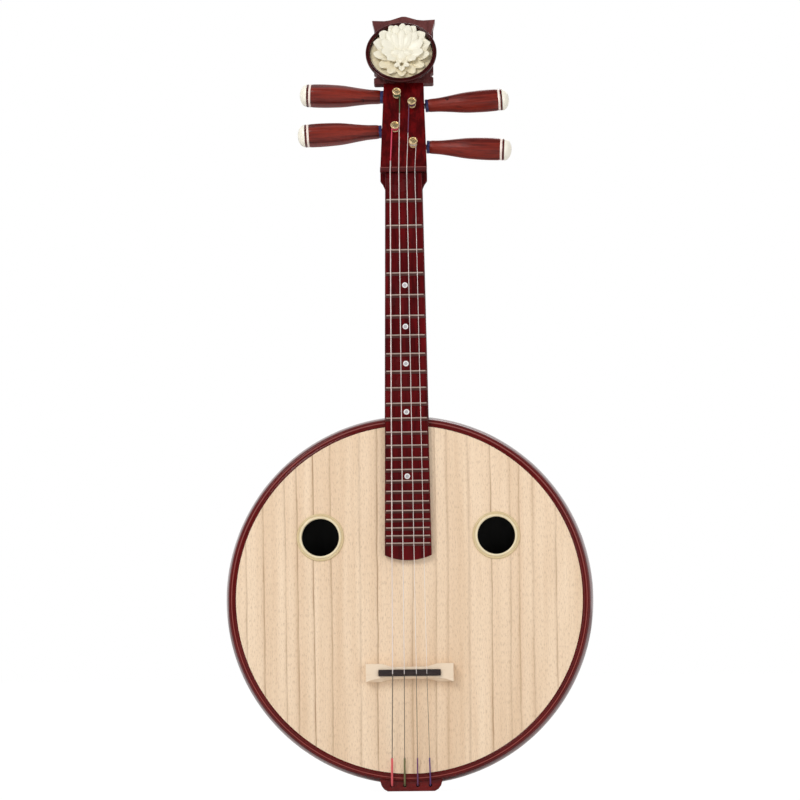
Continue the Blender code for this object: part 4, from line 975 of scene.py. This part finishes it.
for number in range(1, PEG_COUNT + 1):
    body = "peg_%d" % number
    origin, outward = joint_line("peg_%d_turn" % number)
    post_spot = joint_line("post_%d_turn" % number)[0]
    towards = square_to(square_to(post_spot - origin, outward), head_normal).normalized()
    place = axes_place(origin, towards, outward.cross(towards), outward)
    turn = HANDLE_TURN[1 if outward.x > 0 else -1]
    handle = span_along("peg_handle_%d" % number, origin, outward)
    dome_start = handle[1] + DOME_GAP
    dome_end = span_along("peg_cap_%d" % number, origin, outward)[1]
    dark_start = handle[1] - DARK_RING
    wood_end = handle[1] - PALE_RING - DARK_RING
    wood = faceted_mesh("handle_%d" % number, handle, handle[0], wood_end, HANDLE_STATIONS, turn)
    place_piece("handle_%d" % number, wood, peg_finish, body, "rosewood", "peg_handle_%d" % number,
                place=place, sharp=FACET_SHARP)
    for name, low, high, finish, slot in (
            ("pale_ring_%d" % number, wood_end, dark_start, pale_finish, "carved_ivory"),
            ("dark_ring_%d" % number, dark_start, handle[1], dark_finish, "rosewood")):
        ring = faceted_mesh(name, handle, low, high, RING_STATIONS, turn)
        place_piece(name, ring, finish, body, slot, place=place, sharp=FACET_SHARP)
    place_dome(number, body, place, dome_start, dome_end)
    place_collar(number, body, place, handle[0])
    place_dots(number, body, place, dome_start, dome_end - dome_start)
    dress_node("worm_shaft_%d" % number, steel_finish)
    if number in SET_SCREWS:
        place_set_screw(number, body, handle, origin, outward)

# Head ornament: a carved crest block in the red-brown of the head, a turned dish on its face
# and, in the dish, a flower carved from one pale piece, petals over petals, pierced below.
CREST_DEEP = (0.095, 0.0270, 0.0260)
CREST_BRIGHT = (0.190, 0.0600, 0.0570)
DISH_DEEP = (0.030, 0.0042, 0.0042)
DISH_BRIGHT = (0.070, 0.0090, 0.0085)
IVORY_LIGHT = (0.860, 0.820, 0.680)
IVORY_SHADE = (0.760, 0.660, 0.440)
IVORY_SHADED = (0.002, 0.0170)
DISC_DEPTH = 0.0140
DISC_STEPS = 128
FOOT_RADIUS = 0.0357
FOOT_ROUND = 0.0012
FLARE_STEPS = 8
FLARE_START = 0.0018
FLARE_RISE = 0.0076
FLARE_POWER = 0.8
DISC_EDGE_ROUND = 0.0016
DISC_EDGE_DROP = 0.0030
DISH_RADIUS = 0.0422
DISH_DEPTH = 0.0090
DISH_EDGE_ROUND = 0.0012
PETAL_STEPS = 10
PETAL_ROUNDNESS = 0.42
PETAL_OUTLINE = (0.10, 0.88)
PETAL_TIP_DROP = 0.20
RUFFLE_WAVES = 5.5
CREASE_DEPTH = 0.0005
CREASE_SHARPNESS = 5
PETAL_THICKNESS = 0.0014
PETAL_SHARP = 80.0
FLOWER_HEART = Vector((0.001, 0.001, 0.004))
MILLIMETRE = 0.001
PETALS = (
    # petals (heading, length), base (sideways, up, out), width, lift, cup, curl, ruffle;
    # headings in degrees and the rest in millimetres
    (((-100, 38.5), (102, 38)), (0, 0, 0), 24, 7, -4, 1, 2.6),
    (((-72, 39.5), (76, 39.5)), (0, 0, 1), 25, 8, -4, 1, 2.6),
    (((-46, 40), (50, 40)), (0, 0, 1), 25, 8.5, -4, 1, 2.4),
    (((-22, 40.5), (25, 40.5)), (0, 0, 1), 23, 8.5, -4, 1, 2),
    (((2, 40),), (0, 0, 2), 23, 8.5, -4, 1, 1.6),
    (((-128, 37.5), (128, 37.5)), (0, -2, -1), 23, 4.5, -3.5, 0.5, 2.6),
    (((-153, 37.5), (154, 37.5)), (0, -2, -1), 22, 4, -3.5, 0.5, 2.6),
    (((180, 38),), (0, -2, -1), 21, 4, -3.5, 0.5, 2),
    (((-96, 27), (99, 29)), (0, -2, 2), 21, 8.5, -5, 1, 1.2),
    (((-63, 30), (66, 31)), (0, -2, 3), 22, 9.5, -5.5, 0.5, 1.2),
    (((-128, 24), (131, 24)), (0, -2, 2), 18, 7, -4, 0.5, 1.2),
    (((-33, 34.5), (36, 33.5)), (0, -3, 4), 22, 9, -6.5, 0, 0.4),
    (((-11, 39.5), (12, 39.5)), (1, -3, 4), 22, 9.5, -6.5, 0, 0.3),
    (((-22, 27.5), (23, 26.5)), (1, -3, 6), 18, 8.5, -7.5, 0, 0),
    (((1, 30),), (0, -3, 7), 19, 8, -7.5, 0, 0),
    (((-100, 15), (102, 16)), (0, -3, 8), 13, 3, -4, -3, 0.6),
    (((180, 15),), (0, -2, 9), 18, 1, -5, -3, 0),
)
BLOSSOM_PETALS = 5
BLOSSOM_PLACE = Vector((0.0, -0.0225, 0.0058))
BLOSSOM_RADIUS = 0.0026
# length, width, lift, cup, curl
BLOSSOM_PETAL = (0.0080, 0.0075, 0.0006, 0.0012, -0.0006)
GROUND_TOP = ((0.0, 0.0042), (0.020, 0.0038), (0.036, 0.0030), (0.0405, 0.0030))
GROUND_EDGE = (0.0405, 0.0016)
GROUND_ROUND = 0.0014
GROUND_FOOT = ((0.0419, 0.0003), (0.0, 0.0003))
GROUND_STEPS = 96

crest_finish = red_lacquer("crest_lacquer", (4.0, 4.0, 1.0), CREST_DEEP, CREST_BRIGHT, 0.26)
eased_copy("crest_block", "head_crest", crest_finish, "red_lacquer", width=0.0012, segments=3)
dish_finish = red_lacquer("dish_lacquer", (2.0, 2.0, 1.0), DISH_DEEP, DISH_BRIGHT, 0.17)
disc_low, disc_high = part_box("head_disc")
disc_radius = (disc_high.x - disc_low.x) / 2
disc_base = (disc_low + disc_high) / 2 - head_normal * DISC_DEPTH / 2
disc_place = axes_place(disc_base, RIGHT, head_up, head_normal)
disc_profile = [(0.0, 0.0), (FOOT_RADIUS - FOOT_ROUND, 0.0)]
disc_profile += arc((FOOT_RADIUS - FOOT_ROUND, FOOT_ROUND), FOOT_ROUND, -90, 0, 4)
for step in range(FLARE_STEPS + 1):
    share = step / FLARE_STEPS
    flare = (disc_radius - FOOT_RADIUS) * math.sin(share * math.pi / 2) ** FLARE_POWER
    disc_profile.append((FOOT_RADIUS + flare, FLARE_START + FLARE_RISE * share))
disc_edge = (disc_radius - DISC_EDGE_ROUND, DISC_DEPTH - DISC_EDGE_DROP)
disc_profile += arc(disc_edge, DISC_EDGE_ROUND, 0, 140, 8)
dish_edge = (DISH_RADIUS + DISH_EDGE_ROUND, DISC_DEPTH - DISH_EDGE_ROUND)
disc_profile += arc(dish_edge, DISH_EDGE_ROUND, 60, 180, 7)
disc_profile += [(DISH_RADIUS, DISC_DEPTH - DISH_DEPTH), (0.0, DISC_DEPTH - DISH_DEPTH)]
place_turned("turned_dish", disc_profile, DISC_STEPS, dish_finish, "root", "red_lacquer", "head_disc",
             place=disc_place)


def add_petal(bm, base, heading, length, width, lift, cup, curl, ruffle=0.0):
    """One petal from its base, heading in degrees clockwise from up, rising towards its tip."""
    turn = Matrix.Rotation(math.radians(-heading), 4, "Z")
    grid = []
    for row in range(PETAL_STEPS + 1):
        along = row / PETAL_STEPS
        swell = math.sin(math.pi * (PETAL_OUTLINE[0] * (1 - along) + PETAL_OUTLINE[1] * along))
        half = width / 2 * swell ** PETAL_ROUNDNESS
        line = []
        for column in range(PETAL_STEPS + 1):
            across = 2 * column / PETAL_STEPS - 1
            x = across * half
            y = length * along * (1 - PETAL_TIP_DROP * across * across * along)
            wave = ruffle * math.sin(across * RUFFLE_WAVES + heading) * along * abs(across)
            crease = CREASE_DEPTH * math.exp(-(across * CREASE_SHARPNESS) ** 2)
            bowl = cup * across * across * half / width * 2
            z = lift * math.sin(along * math.pi / 2) + bowl + curl * along ** 3 + wave - crease
            line.append(bm.verts.new(turn @ Vector((x, y, z)) + base))
        grid.append(line)
    for lower, upper in zip(grid, grid[1:]):
        for i in range(PETAL_STEPS):
            bm.faces.new((lower[i], lower[i + 1], upper[i + 1], upper[i]))


ivory_finish = Finish("carved_ivory", roughness=0.38)
ivory_cloud = ivory_finish.noise(70.0, detail=4.0)
ivory_fine = ivory_finish.noise(330.0, detail=3.0)
ivory_low = 1.0 - ivory_finish.axis("Z").rise(*IVORY_SHADED)
ivory_shade = ivory_low * 0.95 + ivory_cloud.rise(0.42, 0.75) * 0.25
ivory_finish.set("Base Color", ivory_shade.rise(0.05, 1.1).blend(IVORY_LIGHT, IVORY_SHADE))
ivory_finish.bump(ivory_fine * 0.5 + ivory_cloud * 0.7, 0.0003)

flower = bmesh.new()
for petals, (sideways, up, out), *sizes in PETALS:
    for heading, length in petals:
        base = FLOWER_HEART + Vector((math.copysign(sideways, heading), up, out)) * MILLIMETRE
        add_petal(flower, base, heading, *(size * MILLIMETRE for size in (length, *sizes)))
for petal in range(BLOSSOM_PETALS):
    heading = 360 / BLOSSOM_PETALS * (petal + 0.5)
    toward = Vector((math.sin(math.radians(heading)), math.cos(math.radians(heading)), 0.0))
    base = FLOWER_HEART + BLOSSOM_PLACE + toward * BLOSSOM_RADIUS
    add_petal(flower, base, heading, *BLOSSOM_PETAL)
bmesh.ops.recalc_face_normals(flower, faces=flower.faces)
flower_place = disc_place @ Matrix.Translation((0, 0, DISC_DEPTH - DISH_DEPTH))
carved = place_piece("flower_petals", mesh_from(flower, "flower_petals"), ivory_finish, "root",
                     "carved_ivory", "head_flower", place=flower_place, sharp=PETAL_SHARP)
thick = carved.modifiers.new("thickness", "SOLIDIFY")
thick.thickness = PETAL_THICKNESS
rounder = carved.modifiers.new("rounder", "SUBSURF")
rounder.levels = 1
rounder.render_levels = 1
ground_profile = [*GROUND_TOP, *arc(GROUND_EDGE, GROUND_ROUND, 90, 0, 5), *GROUND_FOOT]
place_turned("flower_ground", ground_profile, GROUND_STEPS, ivory_finish, "root", "carved_ivory",
             place=flower_place)
